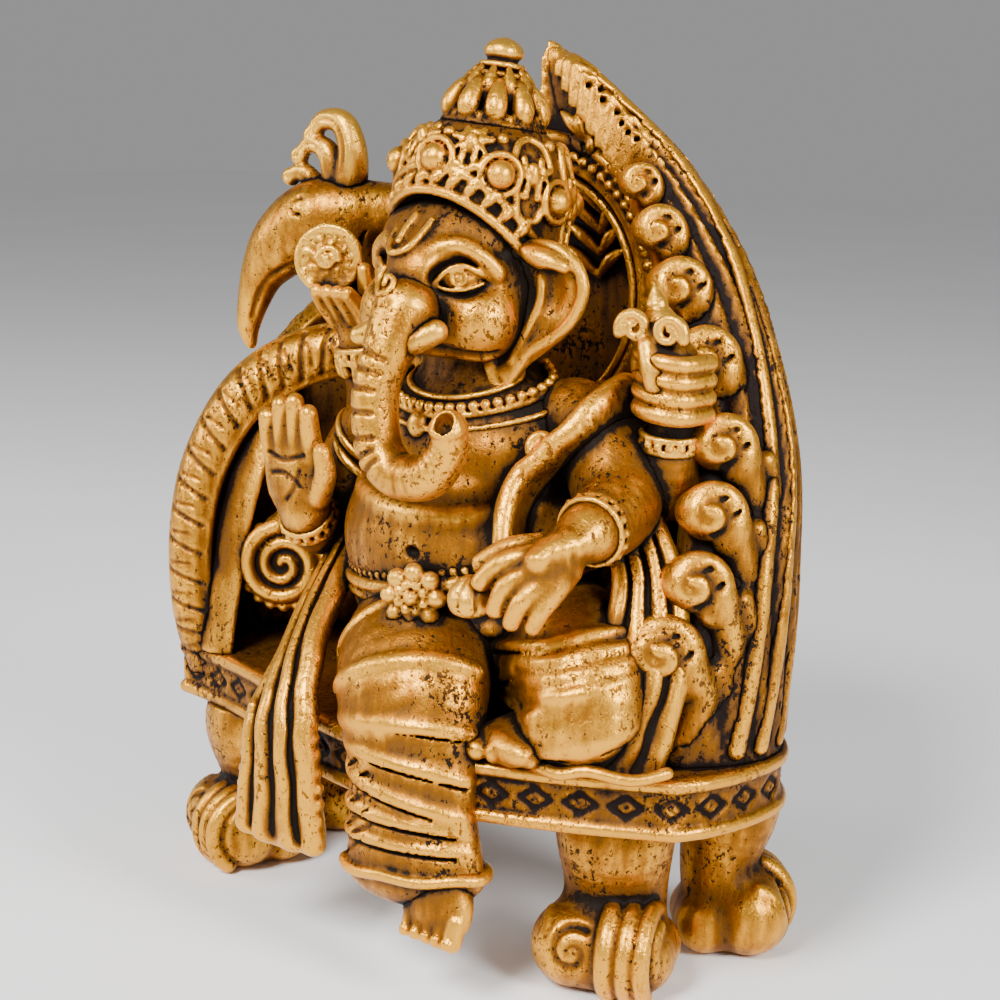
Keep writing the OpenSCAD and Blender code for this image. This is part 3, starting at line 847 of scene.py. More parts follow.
def sculpt_necklace(clay):
    clay.part("necklace", 0.3)
    skin = BELLY + CHEST + limb([[9, 1, 120, 14], [8, -2, 130, 12]])
    for drop, radius in ((0, 0.8), (-3.6, 0.8), (-6.4, 0.7)):
        line = []
        for a in range(-110, 111, 20):
            t = math.radians(a)
            q = (9 + 45 * math.sin(t), -3 - 45 * math.cos(t), 131 - 6.4 * math.cos(t) + drop)
            line.append(touch(skin, [q], (9 - q[0], -3 - q[1], 0), 0.4)[0])
        clay.add(rope(line, radius), 0.3)
        if drop == -3.6:
            bead_line = [q + vec(0, 0, 1.8) for q in line]
    clay.add(beads(bead_line, 1.15, 2.6), 0.2)
    clay.add(egg(bead_line[5] + vec(0.4, -0.6, -4.4), (2.6, 1.8, 3)), 0.4)


def sculpt_belt(clay):
    clay.part("belt", 0.3)
    line = []
    for a in range(-150, 151, 15):
        t = math.radians(a)
        q = (10 + 60 * math.sin(t), -3 - 60 * math.cos(t), 88.5 - 3.4 * math.cos(t) + 5 * math.sin(t))
        line.append(touch(BELLY, [q], (10 - q[0], -3 - q[1], 0), 0.5)[0])
    clay.add(rope(line, 1.5), 0.4)
    clay.add(beads([q + vec(0, 0, 2.6) for q in line], 1.0, 2.6), 0.3)
    clay.add(rope([q + vec(0, 0, -2.6) for q in line], 0.9), 0.3)
    middle = vec(14.5, -31.4, 84.5)
    out = unit((0.3, -0.92, 0))
    side = unit(np.cross((0, 0, 1), out))
    clay.add(disc(middle, 5.6, 1.8, out), 0.5)
    for k in range(8):
        a = math.radians(45 * k)
        petal = middle + side * 5.2 * math.cos(a) + vec(0, 0, 5.2 * math.sin(a)) + out * 1.2
        clay.add(ball(petal, 2.1), 0.3)
        inner = middle + side * 2.9 * math.cos(a + 0.4) + vec(0, 0, 2.9 * math.sin(a + 0.4)) + out * 2.4
        clay.add(ball(inner, 1.15), 0.2)
    clay.add(ball(middle + out * 2.6, 1.7), 0.2)


def sculpt_right_leg(clay):
    clay.part("right_leg", 1.6)
    clay.add(limb(RIGHT_LEG, 5, (0, 1, -1)), 2)
    for f, slant, size in (
        (0.3, 2, 0.9), (0.42, 3, 1.2), (0.52, 5, 1.3), (0.6, 7, 1.2), (0.68, 8, 1.3), (0.75, 5, 1.1),
        (0.83, 3, 1)
    ):
        fold(clay, around(RIGHT_LEG, f, -165, -15, (0, 1, -1), -0.3 * size, slant), size)
    for k in range(6):
        line = around(RIGHT_LEG, 0.62 + 0.05 * k, -170, -112, (0, 1, -1), 0, -6)
        clay.carve(rope(line, 0.5), 0.4)
    hem = around(RIGHT_LEG, 0.985, -180, 180, (0, 1, -1), 0.2, 0, 40)
    hem = [q + vec(0, 0, 0.3 * math.sin(0.9 * i)) for i, q in enumerate(hem)]
    clay.add(rope(hem, 1.3), 0.6)


def sculpt_right_foot(clay):
    clay.part("right_foot", 0.6)
    foot = [
        [26.6, -37.4, 33, 7, 5.4], [28, -39, 27, 8, 5.2], [29, -40.2, 21.6, 8.8, 4.4],
        [29.4, -41, 18.6, 8.2, 3.2]
    ]
    clay.add(limb(foot), 1.5)
    for k in range(5):
        x, size = 23.2 + 2.9 * k, 1.6 + 0.16 * k
        clay.add(limb([[x + 0.4, -42, 20.4, size], [x, -43, 16.2, size]]), 0.4)
        clay.add(egg((x, -43 - size, 16.4), (0.7 * size, 0.6, 1.3)), 0.1)
    for k in range(4):
        gap = 24.7 + 2.9 * k
        clay.carve(rope([(gap, -45, 20.4), (gap, -45, 14.6)], 0.5, 2), 0.3)


def sculpt_left_leg(clay):
    clay.part("left_leg", 1.6)
    skin = limb(LEFT_LEG, 5, (0.3, 1, 0))
    clay.add(skin, 2)
    for k in range(7):
        z = 81 - 3.6 * k
        line = [
            (30, -34 + 0.8 * k, z - 6), (40, -34, z - 3.5), (50, -33, z - 1), (60, -24, z + 2),
            (66, -14, z + 5)
        ]
        fold(clay, touch(skin, line, LOOK, 0.3), 1.1 + 0.12 * k)
    ruff = []
    for k in range(25):
        t = k / 24
        ruff.append([
            34 + 30 * t, -29 + 11 * t - 5 * math.sin(3.14 * t) + 1.4 * math.sin(9.4 * k),
            55.2 + 1.3 * math.sin(2.1 * k), 1.5
        ])
    clay.add(limb(ruff, 3), 1)


def sculpt_left_foot(clay):
    clay.part("left_foot", 0.6)
    clay.add(limb([
        [44, -18, 59, 7, 5], [41, -26, 58.4, 8.4, 4.6], [38.5, -32, 57, 10, 3.8]
    ], 4, (0, 0, 1)), 1)
    for k in range(5):
        x = 30.4 + 4 * k
        y = -36 + 0.7 * k
        finger(clay, [[x, y + 4, 57.6, 2.3], [x, y, 56, 2.4 - 0.1 * k]], (2, 2.1, 1.8))


def sculpt_front_left_arm(clay):
    clay.part("front_left_arm", 1.4)
    upper = [
        [33, -1, 120, 9.5], [42, -3, 115, 10], [49, -8, 107, 9.5], [51.5, -16, 103.5, 8],
        [52.5, -24, 102.5, 6]
    ]
    clay.add(limb(upper), 2)
    clay.add(limb([
        [52.5, -23, 102.5, 5.8, 5], [50.5, -29, 100, 6.6, 4], [47.4, -33.5, 96.5, 7.4, 3.6]
    ], 4, (0, 0.6, 1)), 2)
    for rows in (
        [[46, -35, 98.4, 2.5], [41, -37.6, 96.6, 2.3], [37, -38.8, 92.4, 2.0]],
        [[47.4, -36, 96, 2.5], [43.4, -38.8, 92.6, 2.3], [41, -39.2, 87.6, 1.9]],
        [[49.6, -35.6, 93.6, 2.4], [47, -38.6, 90, 2.2], [44.6, -38.6, 85.4, 1.8]],
        [[51.6, -34, 92.6, 2.2], [50.4, -36.8, 88.4, 2.0], [48.6, -36.8, 84.8, 1.7]],
        [[46, -31, 100, 2.6], [40, -33.6, 99, 2.3], [35, -36, 95.6, 2]]
    ):
        finger(clay, rows)
    clay.add(limb([[49, -31, 96, 6], [49, -34, 92, 4]]), 2)


def sculpt_front_right_arm(clay):
    clay.part("front_right_arm", 1.4)
    clay.add(limb([
        [-12, -3, 118, 9.5], [-23, -1, 109, 9.5], [-30, -3, 97, 8.6], [-30, -11, 90, 7], [-29, -17, 94, 5.6]
    ]), 2)
    hand = [
        [-29, -17, 93, 5.4, 4.4],
        [-29.4, -19, 99, 8.6, 4],
        [-30.4, -19.4, 107, 8.8, 3],
        [-30.6, -19.2, 110, 8, 2.4]
    ]
    clay.add(limb(hand, 4), 2)
    for x, top in ((-37.2, 115.4), (-33.2, 118.6), (-29, 119.6), (-25, 117.4)):
        finger(clay, [
            [x + 0.6, -19.6, 107, 2.5], [x, -20.2, 112, 2.4], [x + 0.4, -21.4, top, 2.1]
        ], (1.9, 1.9, 2.2))
    finger(clay, [[-23, -19.5, 99, 2.9], [-19.8, -21, 104, 2.5], [-20, -22, 109.4, 2.1]])
    palm = limb(hand[1:], 4)
    for line in (
        [(-36, -24, 107.5), (-31, -24.6, 106.6), (-25.5, -24, 108)],
        [(-35.6, -24, 103), (-30.5, -24.6, 103.6), (-26, -24, 101)],
        [(-26.4, -23.6, 104.6), (-27.6, -24, 100.4), (-30, -23.6, 97.4)]
    ):
        clay.carve(rope(touch(palm, line, (0, 1, 0), 0.1), 0.6), 0.4)


def sculpt_rear_left_arm(clay):
    clay.part("rear_left_arm", 1.4)
    clay.add(limb([
        [34, 10, 120, 8], [44, 9, 112, 8], [52, 4, 107, 7.6], [56, 0, 113, 6.4], [57, -1, 121, 5],
        [58, -1, 127, 5.6], [57.4, -1, 131, 5]
    ]), 2)
    for k in range(4):
        z = 125.4 + 3.6 * k
        arc = [
            (50.6, 0, z + 1.4), (52.4, -6.4, z + 0.7), (57.5, -9.2, z), (62.8, -6.8, z - 0.6),
            (64.6, 0, z - 0.4)
        ]
        clay.add(limb([[*q, 1.9] for q in arc], 4), 0.6)


def sculpt_rear_right_arm(clay):
    clay.part("rear_right_arm", 1.4)
    clay.add(limb([
        [-12, 9, 117, 8], [-23, 10, 111, 8], [-29, 8, 112, 7], [-28, 5, 120, 6.2], [-27.5, 1, 128, 5.2],
        [-28.5, 0, 137, 5.4], [-30, -1, 143, 4.6]
    ]), 2)
    for k in range(4):
        rows = [
            [-32 + 3 * k, -3, 136, 2.2], [-33.4 + 3.4 * k, -6.5, 140.4, 2],
            [-32.6 + 3 * k, -9.6, 143.4, 1.7]
        ]
        finger(clay, rows)
    finger(clay, [[-26, 0, 138, 2.4], [-23.4, -3, 143, 2.2], [-23.6, -4, 148.4, 1.8]])


def sculpt_bracelets(clay):
    clay.part("bracelets", 0.4)
    bead_band(clay, (52.2, -21.6, 102.7), 6.9, (0.12, -1, -0.15))
    bead_band(clay, (-29.2, -15.6, 92.4), 6.2, (0.1, -0.7, 0.7))
    bead_band(clay, (56.8, -0.9, 119), 6, (0.1, -0.1, 1))
    bead_band(clay, (-27.4, 1, 129), 6, (-0.1, -0.15, 1))
    for k in range(10):
        a = 2 * math.pi * k / 10
        cup = [
            [-27.2 + 5.6 * math.cos(a), 2 + 5.6 * math.sin(a), 124.4, 1.6],
            [-27.4 + 6.4 * math.cos(a), 1.4 + 6.4 * math.sin(a), 126.8, 0.9]
        ]
        clay.add(limb(cup, 2), 0.2)
    for height, radius in ((112, 9.4), (108.6, 10)):
        clay.add(ring((-21.4, -1.2, height - 2), radius, 1.1, (-0.62, 0.1, -0.78)), 0.3)


def sculpt_sweet(clay):
    clay.part("sweet", 0.2)
    clay.add(turned([
        [0, 1.5], [1.4, 4.2], [4, 4.9], [6.6, 3.8], [8.4, 1.6], [9.2, 0.3]
    ], (33.4, -36.6, 84.4), (8, 0, 0)), 0.2)
    for k in range(8):
        a = math.pi * k / 4
        rib = []
        for h, r in ((1, 3.9), (4, 5.1), (7, 3.8), (9, 0.9)):
            rib.append((33.4 + r * math.cos(a), -36.6 + r * math.sin(a), 84.4 + h))
        clay.carve(rope(rib, 0.4), 0.3)


def sculpt_conch(clay):
    clay.part("conch", 0.3)
    shell = [
        [0, 3], [3, 5.6], [7, 7], [10, 6.6], [12.4, 5], [13.2, 5.4], [15, 4.6], [16, 3.6], [16.8, 3.9],
        [18.6, 2.8], [19.4, 2.2], [20.2, 2.4], [22.4, 1.2], [24.4, 0.3]
    ]
    clay.add(turned(shell, (57.6, -3, 127.4), (0, -12, 0)), 0.3)
    for x, z, start, hand in ((51.6, 142.4, 200, -1), (59.8, 142, -20, 1)):
        path = curl_path((x, -8.4, z), 3.4, 1.3, start, (1, 0.2, 0), (0, 0, 1), hand, 1.3)
        clay.add(limb(path, 2), 0.4)
    clay.add(limb([[55, -8, 138.6, 2.4], [57, -9, 134, 2.6], [58, -8.4, 128, 2]]), 1)


def sculpt_lotus(clay):
    clay.part("lotus", 0.4)
    face = unit((0.42, -0.9, 0.1))
    side = unit(np.cross((0, 0, 1), face))
    middle = vec(-32, -6, 150.4)
    upward = np.cross(face, side)
    clay.add(disc(middle, 7.6, 1.8, face), 0.4)
    clay.add(ring(middle + face * 1.4, 7.2, 0.9, face), 0.3)
    for k in range(8):
        a = math.radians(45 * k)
        spot = middle + (side * math.cos(a) + upward * math.sin(a)) * 5.2 + face * 1.6
        path = curl_path(spot, 1.9, 1.1, 45 * k + 180, side, upward, 1, 0.6)
        clay.add(limb(path, 2), 0.3)
    clay.add(limb(curl_path(middle + face * 2.2, 2.8, 1.6, 0, side, upward, 1, 0.8), 2), 0.3)
    clay.add(ball(middle + face * 2.2, 1.2), 0.2)


def sculpt_shoulder_shawl(clay):
    clay.part("shoulder_shawl", 0.9)
    clay.add(limb(SHAWL, 5, (1, 0.3, 0)), 1)
    clay.add(stripes(SHAWL, (-0.85, -0.35, 0.2, 0.8), 1.7, (1, 0.3, 0), -0.5), 1.2)
    clay.carve(stripes(SHAWL, (-0.6, -0.08, 0.5), 0.5, (1, 0.3, 0), 0.3), 0.5)
    brooch = vec(36, -17.6, 117)
    clay.add(ring(brooch, 2.6, 0.9, LOOK), 0.3)
    clay.add(ball(brooch, 1.6), 0.3)


def sculpt_seat_drape(clay):
    clay.part("seat_drape", 0.9)
    clay.add(limb(SEAT_DRAPE, 5, (-0.55, 0.83, 0)), 1)
    clay.add(stripes(SEAT_DRAPE, (-0.8, -0.3, 0.25, 0.78), 2.6, (-0.55, 0.83, 0), -1.0), 1.6)
    clay.carve(stripes(SEAT_DRAPE, (-0.55, -0.04, 0.52), 0.75, (-0.55, 0.83, 0), 0.4), 0.6)
    clay.add(rope([
        (45, -31, 54.4), (52, -31.6, 53.6), (58, -29.4, 55), (66, -25.6, 53.8), (71, -20, 55)
    ], 1.3), 1)


def sculpt_hip_drape(clay):
    clay.part("hip_drape", 0.9)
    clay.add(limb(HIP_DRAPE, 5, (0, 1, 0.4)), 1)
    clay.add(stripes(HIP_DRAPE, (-0.82, -0.3, 0.3, 0.82), 2.6, (0, 1, 0.4), -1.0), 1.6)
    clay.carve(stripes(HIP_DRAPE, (-0.58, 0.0, 0.56), 0.8, (0, 1, 0.4), 0.4), 0.6)
    for side in (-1, 1):
        for k in range(8):
            spot = (-13.4 + side * (11.4 - 0.06 * k * k), -42.6 + 0.1 * k, 30 + 3.6 * k)
            clay.add(ball(spot, 1.3), 0.6)


# ---------------------------------------------------------------- throne
SHELL_WIDTH = spline([
    [40, 79], [77, 79.4], [93, 78.5], [110, 76.5], [128, 71], [147, 62], [163, 51], [177, 38], [190, 20],
    [200, 7]
], 6)
SHELL_DEPTH = spline([[40, 38], [53, 38], [90, 33], [117, 26], [140, 20], [156, 15], [180, 9], [200, 4]], 6)
SHELL_BACK = spline([[40, 46], [90, 46], [140, 43], [170, 39], [200, 34]], 6)
FRONT_EDGE = [[-77.5, -9.5], [-60, -13], [-40, -20], [-15, -33], [15, -39], [47, -31], [73, -19]]
ARCH = [
    [-70, -6, 49, 6.6, 4.8],
    [-73, -8, 62, 6.4, 5],
    [-74, -8, 80, 6.4, 5],
    [-72.6, -5, 97, 6.4, 5],
    [-66, 0, 113, 6.4, 5],
    [-57, 6, 122, 6.4, 5],
    [-45, 12, 127, 6, 5],
    [-32, 18, 128, 5, 4]
]
# Rolled plumes up the front edge of the left wing: place, size, length of the tail
CURLS = [
    [(62.5, -12, 77), 8.6, 22],
    [(66.6, -6, 91), 7.4, 30],
    [(66.6, -1, 105), 7.2, 34],
    [(65.6, 4, 118.5), 7, 36],
    [(57, 9.6, 135), 7.4, 26],
    [(47.6, 13.6, 149), 6.8, 22],
    [(40.6, 16.4, 160.4), 5.8, 18],
    [(33.6, 19.4, 170), 4.6, 14]
]


def shell_point(angle, height, inward=0.0):
    """Point of the throne wall; angle 0 is the back's middle, positive towards the idol's left."""
    a = math.radians(angle)
    w = float(np.interp(height, SHELL_WIDTH[:, 0], SHELL_WIDTH[:, 1]))
    d = float(np.interp(height, SHELL_DEPTH[:, 0], SHELL_DEPTH[:, 1]))
    b = float(np.interp(height, SHELL_BACK[:, 0], SHELL_BACK[:, 1]))
    return vec((w - inward) * math.sin(a), b - inward - (d - 0.6 * inward) * (1 - math.cos(a)), height)


def shell_map(x, y, z):
    """Distance outside the throne's outer face, and the angle round it in degrees."""
    w = np.interp(z, SHELL_WIDTH[:, 0], SHELL_WIDTH[:, 1]).astype(np.float32)
    d = np.interp(z, SHELL_DEPTH[:, 0], SHELL_DEPTH[:, 1]).astype(np.float32)
    b = np.interp(z, SHELL_BACK[:, 0], SHELL_BACK[:, 1]).astype(np.float32)
    slope = (np.interp(z + 1, SHELL_WIDTH[:, 0], SHELL_WIDTH[:, 1]) - w).astype(np.float32)
    u, v = x / w, (y - b + d) / d
    k0 = np.sqrt(u * u + v * v)
    k1 = np.sqrt((u / w) ** 2 + (v / d) ** 2)
    lean = np.sqrt(1 + (slope * u) ** 2)
    return k0 * (k0 - 1) / np.maximum(k1, 1e-5) / lean, np.degrees(np.arctan2(u, v))


def wall(low_angle, high_angle, tops, thick, pattern=None):
    """Part of the throne wall between two angles, up to tops, which are rows of angle, height."""
    t = spline(tops, 6)
    ends = []
    for a in np.linspace(low_angle, high_angle, 9):
        for h in range(SEAT_TOP, 201, 14):
            ends += [shell_point(a, h), shell_point(a, h, thick)]
    middle, half = (low_angle + high_angle) / 2, (high_angle - low_angle) / 2

    def fn(x, y, z):
        out, a = shell_map(x, y, z)
        outer = out if pattern is None else out - pattern(a, z)
        rim = np.interp(a, t[:, 0], t[:, 1]).astype(np.float32)
        edge = (np.abs(a - middle) - half) * 0.9
        body = -smooth_min(-outer, out + thick, 2)
        body = -smooth_min(-body, -0.8 * (z - rim), 3)
        body = -smooth_min(-body, -edge, 3)
        return np.maximum(body, SEAT_TOP - z)

    return [Shape(np.min(ends, 0) - 3, [*(np.max(ends, 0) + 2)[:2], 200.5], fn)]


def feather_lines(a, z):
    """Long flowing feathers up the outside of the left wing, with short barbs between them."""
    flow = a - 0.16 * (z - 60) + 3 * np.sin(z / 17)
    ridge = np.abs(((flow / 9.5) % 1) - 0.5) * 2
    barb = np.abs((((z + 1.4 * a) / 5.5) % 1) - 0.5) * 2
    fade = np.clip((z - 53) / 10, 0, 1) * np.clip((a - 20) / 20, 0, 1)
    return fade * (1.5 * (ridge**0.6 - 0.7) - 0.3 * (1 - barb) ** 3)


def back_lines(a, z):
    """Shallow feathers that spread from the middle of the back."""
    flow = np.abs(a) * (1 + (z - 53) / 260) + 2 * np.sin(z / 13)
    ridge = np.abs(((flow / 8) % 1) - 0.5) * 2
    tip = 0.5 + 0.5 * np.sin((z + 0.5 * np.abs(a)) / 9)
    return 0.9 * np.clip((z - 54) / 8, 0, 1) * (ridge**0.7 - 0.8) * (0.5 + 0.5 * tip)


def sculpt_plinth(clay):
    clay.part("plinth", 0.2)
    outline = [list(q) for q in spline(FRONT_EDGE, 5)]
    side = []
    for k in range(1, 40):
        t = math.radians(-24 + (195 + 24) * k / 40)
        low = t < 0 or t > math.pi
        side.append([81 * math.cos(t), 8 + (65 if low else 39) * math.sin(t)])
    whole = outline + side
    inner = [[x * 0.985, y * 0.975 + 0.1] for x, y in whole]
    clay.add(slab(inner, SEAT_BOTTOM, SEAT_TOP), 0.3)
    clay.add(slab(whole, SEAT_BOTTOM, 42.8, 1.1), 0.4)
    clay.add(slab(whole, 50.2, SEAT_TOP, 1.1), 0.4)
    front = inner[:26]
    for height in (43.4, 49.6):
        clay.carve(rope([[x, y, height] for x, y in front], 0.4, 2), 0.3)
    loop = np.array(inner + inner[:1])
    run = np.concatenate([[0], np.cumsum(np.hypot(*np.diff(loop, axis=0).T))])
    for s in np.arange(5, run[-1], 9.5):
        here = [float(np.interp(s + o, run, loop[:, k])) for o in (-3.3, 0, 3.3) for k in (0, 1)]
        x0, y0, x1, y1, x2, y2 = here
        diamond = [(x0, y0, 46.5), (x1, y1, 48.7), (x2, y2, 46.5), (x1, y1, 44.3), (x0, y0, 46.5)]
        clay.carve(limb([[*q, 0.8] for q in diamond], 1), 0.3)
        clay.carve(ball((x1, y1, 46.5), 0.7), 0.2)
    clay.carve(rope([(73.6, -19.2, SEAT_BOTTOM), (73.2, -19, SEAT_TOP)], 0.6, 2), 0.3)
    clay.carve(rope([(-77.8, -9.6, SEAT_BOTTOM), (-77.8, -9.6, SEAT_TOP)], 0.6, 2), 0.3)


def sculpt_leg(clay, name, place, angle, wide):
    """Cabriole leg whose foot rolls forward into a ridged scroll."""
    a = math.radians(angle)
    across, front = vec(math.cos(a), math.sin(a), 0), vec(math.sin(a), -math.cos(a), 0)
    base = vec(*place, 0)

    def at(u, f, z):
        return base + across * u + front * f + vec(0, 0, z)
    clay.part(name, 0.4)
    rows = [
        [0, -2, 41, wide, 11], [0, 0, 34, wide, 11], [0, -2, 22, wide - 1.6, 9], [0, -1, 12, wide - 1.4, 9],
        [0, 0, 7, wide - 3, 8]
    ]
    clay.add(limb([[*at(u, f, z), w, d] for u, f, z, w, d in rows], 5, -front), 1)
    roll = limb([[*at(u, 4.6, 9.4), 9.4] for u in (-wide + 6, 0, wide - 7)], 2)
    clay.add(roll, 3)
    clay.add(limb([[*at(u, -5, 7.4), 7.2] for u in (-wide + 6, 0, wide - 6)], 2), 2)
    for k, u in enumerate((0.18, 0.52, 0.84)):
        arc = []
        for t in np.linspace(-0.95, 2.2, 12):
            arc.append(at(u * (wide - 1), 5 + 9.2 * math.cos(t), 9.8 + 9.4 * math.sin(t)))
        clay.add(rope(arc, 2.3 - 0.2 * k, 3), 0.5)
    for side in (-1, 1):
        path = curl_path(at(side * (wide - 1.6), 4.6, 9.4), 7, 1.3, 80, front, (0, 0, 1), -1, 1.8, 0.15, 24)
        clay.add(limb(path, 2), 0.6)
    groove = curl_path(at(-0.4 * wide, 30, 11), 5.4, 1.2, 60, across, (0, 0, 1), 1, 1.0, 0.15, 20)
    snapped = touch(roll, groove, -front, 0.1)
    clay.carve(limb([[*q, g[3]] for q, g in zip(snapped, groove)], 2), 0.5)
    for u in (-0.4, 0.4):
        groove = [at(u * wide, 11, 38), at(u * wide, 10.4, 30), at(u * (wide - 3), 6.6, 21)]
        clay.carve(rope(groove, 0.35), 0.6)
    clay.carve(below(0), 0)
    clay.carve(above(SEAT_BOTTOM), 0)


def sculpt_seat_legs(clay):
    sculpt_leg(clay, "front_right_leg", (-59, -3), -24, 13)
    sculpt_leg(clay, "front_left_leg", (51, -7), 18, 13)
    sculpt_leg(clay, "rear_right_leg", (-58, 27), -150, 10)
    sculpt_leg(clay, "rear_left_leg", (61, 25), 128, 10)


def sculpt_throne_back(clay):
    clay.part("throne_back", 0.6)
    clay.add(wall(-36, 35, [[-36, 160], [-12, 178], [6, 199], [35, 199.5]], 8, back_lines), 0.5)
    for k in range(7):
        h = 148 + 5 * k
        for side in (-1, 1):
            start = shell_point(17 + 2 * k, h, 8.6)
            end = shell_point(17 + 2 * k + side * (11 - 0.5 * k), h + 6.5, 8.4)
            middle = (start + end) / 2 + vec(0, -0.6, 0.8)
            clay.add(limb([[*start, 0.8], [*middle, 1.5], [*end, 0.5]], 3), 0.3)


def sculpt_halo_ring(clay):
    clay.part("halo_ring", 0.5)
    facing = (0, -1, 0.05)
    for radius, thick, front in ((36, 1.7, 27.4), (31.4, 1.5, 27.2), (28.2, 1, 27.6)):
        clay.add(ring((0, front, 143), radius, thick, facing), 0.4)
    clay.add(ring((0, 29.4, 143), 33, 3.4, facing), 0.4)
    for k in range(72):
        t = 2 * math.pi * k / 72
        clay.add(ball((33.7 * math.cos(t), 26.6, 143 + 33.7 * math.sin(t)), 1.25), 0.2)


def sculpt_right_arm_wing(clay):
    clay.part("right_arm_wing", 0.6)
    clay.add(wall(-124, -35, [[-124, 108], [-97, 127], [-61, 148], [-35, 164]], 7, back_lines), 0.5)


def sculpt_left_arm_wing(clay):
    clay.part("left_arm_wing", 0.6)
    clay.add(wall(34, 122, [[34, 199.5], [122, 196]], 7, feather_lines), 0.5)
    edge = wall(34, 122, [[34, 199.5], [122, 196]], 7)
    for k in range(11):
        c = vec(12 + 1.6 * k, 28 - 0.6 * k, 190 - 2.2 * k)
        slash = touch(edge, [c, c + vec(3.2, -1.5, 0.2), c + vec(6, -3, 1.6 - 0.2 * k)], LOOK, 0)
        clay.carve(rope(slash, 0.7, 2), 0.3)


def sculpt_wing_feathers(clay):
    clay.part("wing_feathers", 0.5)
    for k, a in enumerate((60, 72, 84, 96, 106)):
        line = []
        for h in range(56, 195, 8):
            wave = 2.5 * math.sin(h / 24 + 0.5 * k)
            q = shell_point(a + wave - 0.12 * (h - 60), h, 1.3)
            line.append([*q, 2.3 - 1.1 * (h - 56) / 140])
        clay.add(limb(line, 2), 0.8)


def sculpt_wing_curls(clay):
    """Thick plumes that roll over like waves, each with a sharp spiral cut into its face."""
    clay.part("wing_curls", 1.2)
    right, upward = unit((0.8, 0.6, 0)), vec(0, 0, 1)
    toward = unit((0.58, -0.79, 0.1))
    for place, size, tail in CURLS:
        c = vec(*place)
        body = [
            c + right * 0.5 * size - upward * 0.2 * size, c, c - right * 0.3 * size + upward * 0.05 * size
        ]
        roll = limb([[*body[0], 0.62 * size], [*body[1], 0.8 * size], [*body[2], 0.66 * size]])
        clay.add(roll, 1.5)
        clay.add(limb(curl_path(
            c + toward * 1.2, size * 0.95, 1.1, -60, right, upward, 1, 0.36 * size, 0.2, 24
        ), 2), 1)
        spine = [
            [*(c + right * 0.75 * size - upward * 0.5 * size), 0.55 * size],
            [*(c + right * 0.95 * size - upward * 0.4 * tail + vec(0, 1.5, 0)), 0.5 * size],
            [*(c + right * 0.7 * size - upward * 0.8 * tail + vec(0, 1, 0)), 0.34 * size],
            [*(c + right * 0.3 * size - upward * tail), 1]
        ]
        spine = [[*q[:2], max(q[2], 54), q[3]] for q in spine]
        clay.add(limb(spine, 5), 1.6)
        outer = [[*(vec(*q[:3]) + right * 0.5 * size + vec(0, 2, 0)), 0.5 * q[3] + 0.4] for q in spine]
        clay.add(limb(outer, 5), 1)
        groove = curl_path(c + toward * 2 * size, size * 0.66, 1.2, -80, right, upward, 1, 1.05, 0.14, 20)
        snapped = touch(roll, groove, -toward, 0.2)
        clay.carve(limb([[*q, g[3]] for q, g in zip(snapped, groove)], 2), 0.5)
        for k in range(3):
            root = vec(*groove[3 + 4 * k][:3])
            spur = [root, root + right * 0.3 * size + upward * (0.3 - 0.25 * k) * size]
            clay.carve(rope(touch(roll, spur, -toward, 0), 0.6, 2), 0.3)


def sculpt_arm_arch(clay):
    clay.part("arm_arch", 0.6)
    clay.add(limb(ARCH, 5), 1)
    for f in np.linspace(0.05, 0.95, 17):
        dash = around(ARCH, f, -150, -20, (0, 1, 0), -0.1, 4.5)
        clay.carve(rope(dash, 0.55, 2), 0.4)
        across = around(ARCH, min(f + 0.02, 0.97), -120, -60, (0, 1, 0), -0.1, 0)
        clay.carve(rope(across, 0.4, 2), 0.3)
    for side in (-172, -8):
        edge = [around(ARCH, f, side, side + 1, (0, 1, 0), -0.6)[0] for f in np.linspace(0.02, 0.98, 24)]
        clay.add(rope(edge, 1.3, 2), 0.6)


def sculpt_arm_scroll(clay):
    clay.part("arm_scroll", 0.6)
    face = unit((0.5, -0.86, 0.05))
    side = unit(np.cross((0, 0, 1), face))
    upward = np.cross(face, side)
    middle = vec(-52, 1.6, 75)
    clay.add(disc(middle, 10.6, 2.6, face), 0.5)
    clay.add(limb(curl_path(middle + face * 2.8, 9.6, 2.1, 100, side, upward, 1, 2, 0.1, 36), 2), 0.4)
    for k in range(20):
        a = math.radians(18 * k)
        spot = middle + (side * math.cos(a) + upward * math.sin(a)) * 10.4 + face * 1.4
        clay.add(ball(spot, 1.5), 0.4)
    clay.add(limb([[*(middle + upward * 9 - side * 2), 3], [-50, 4, 90, 2.6], [-52, 8, 100, 1.6]]), 1)


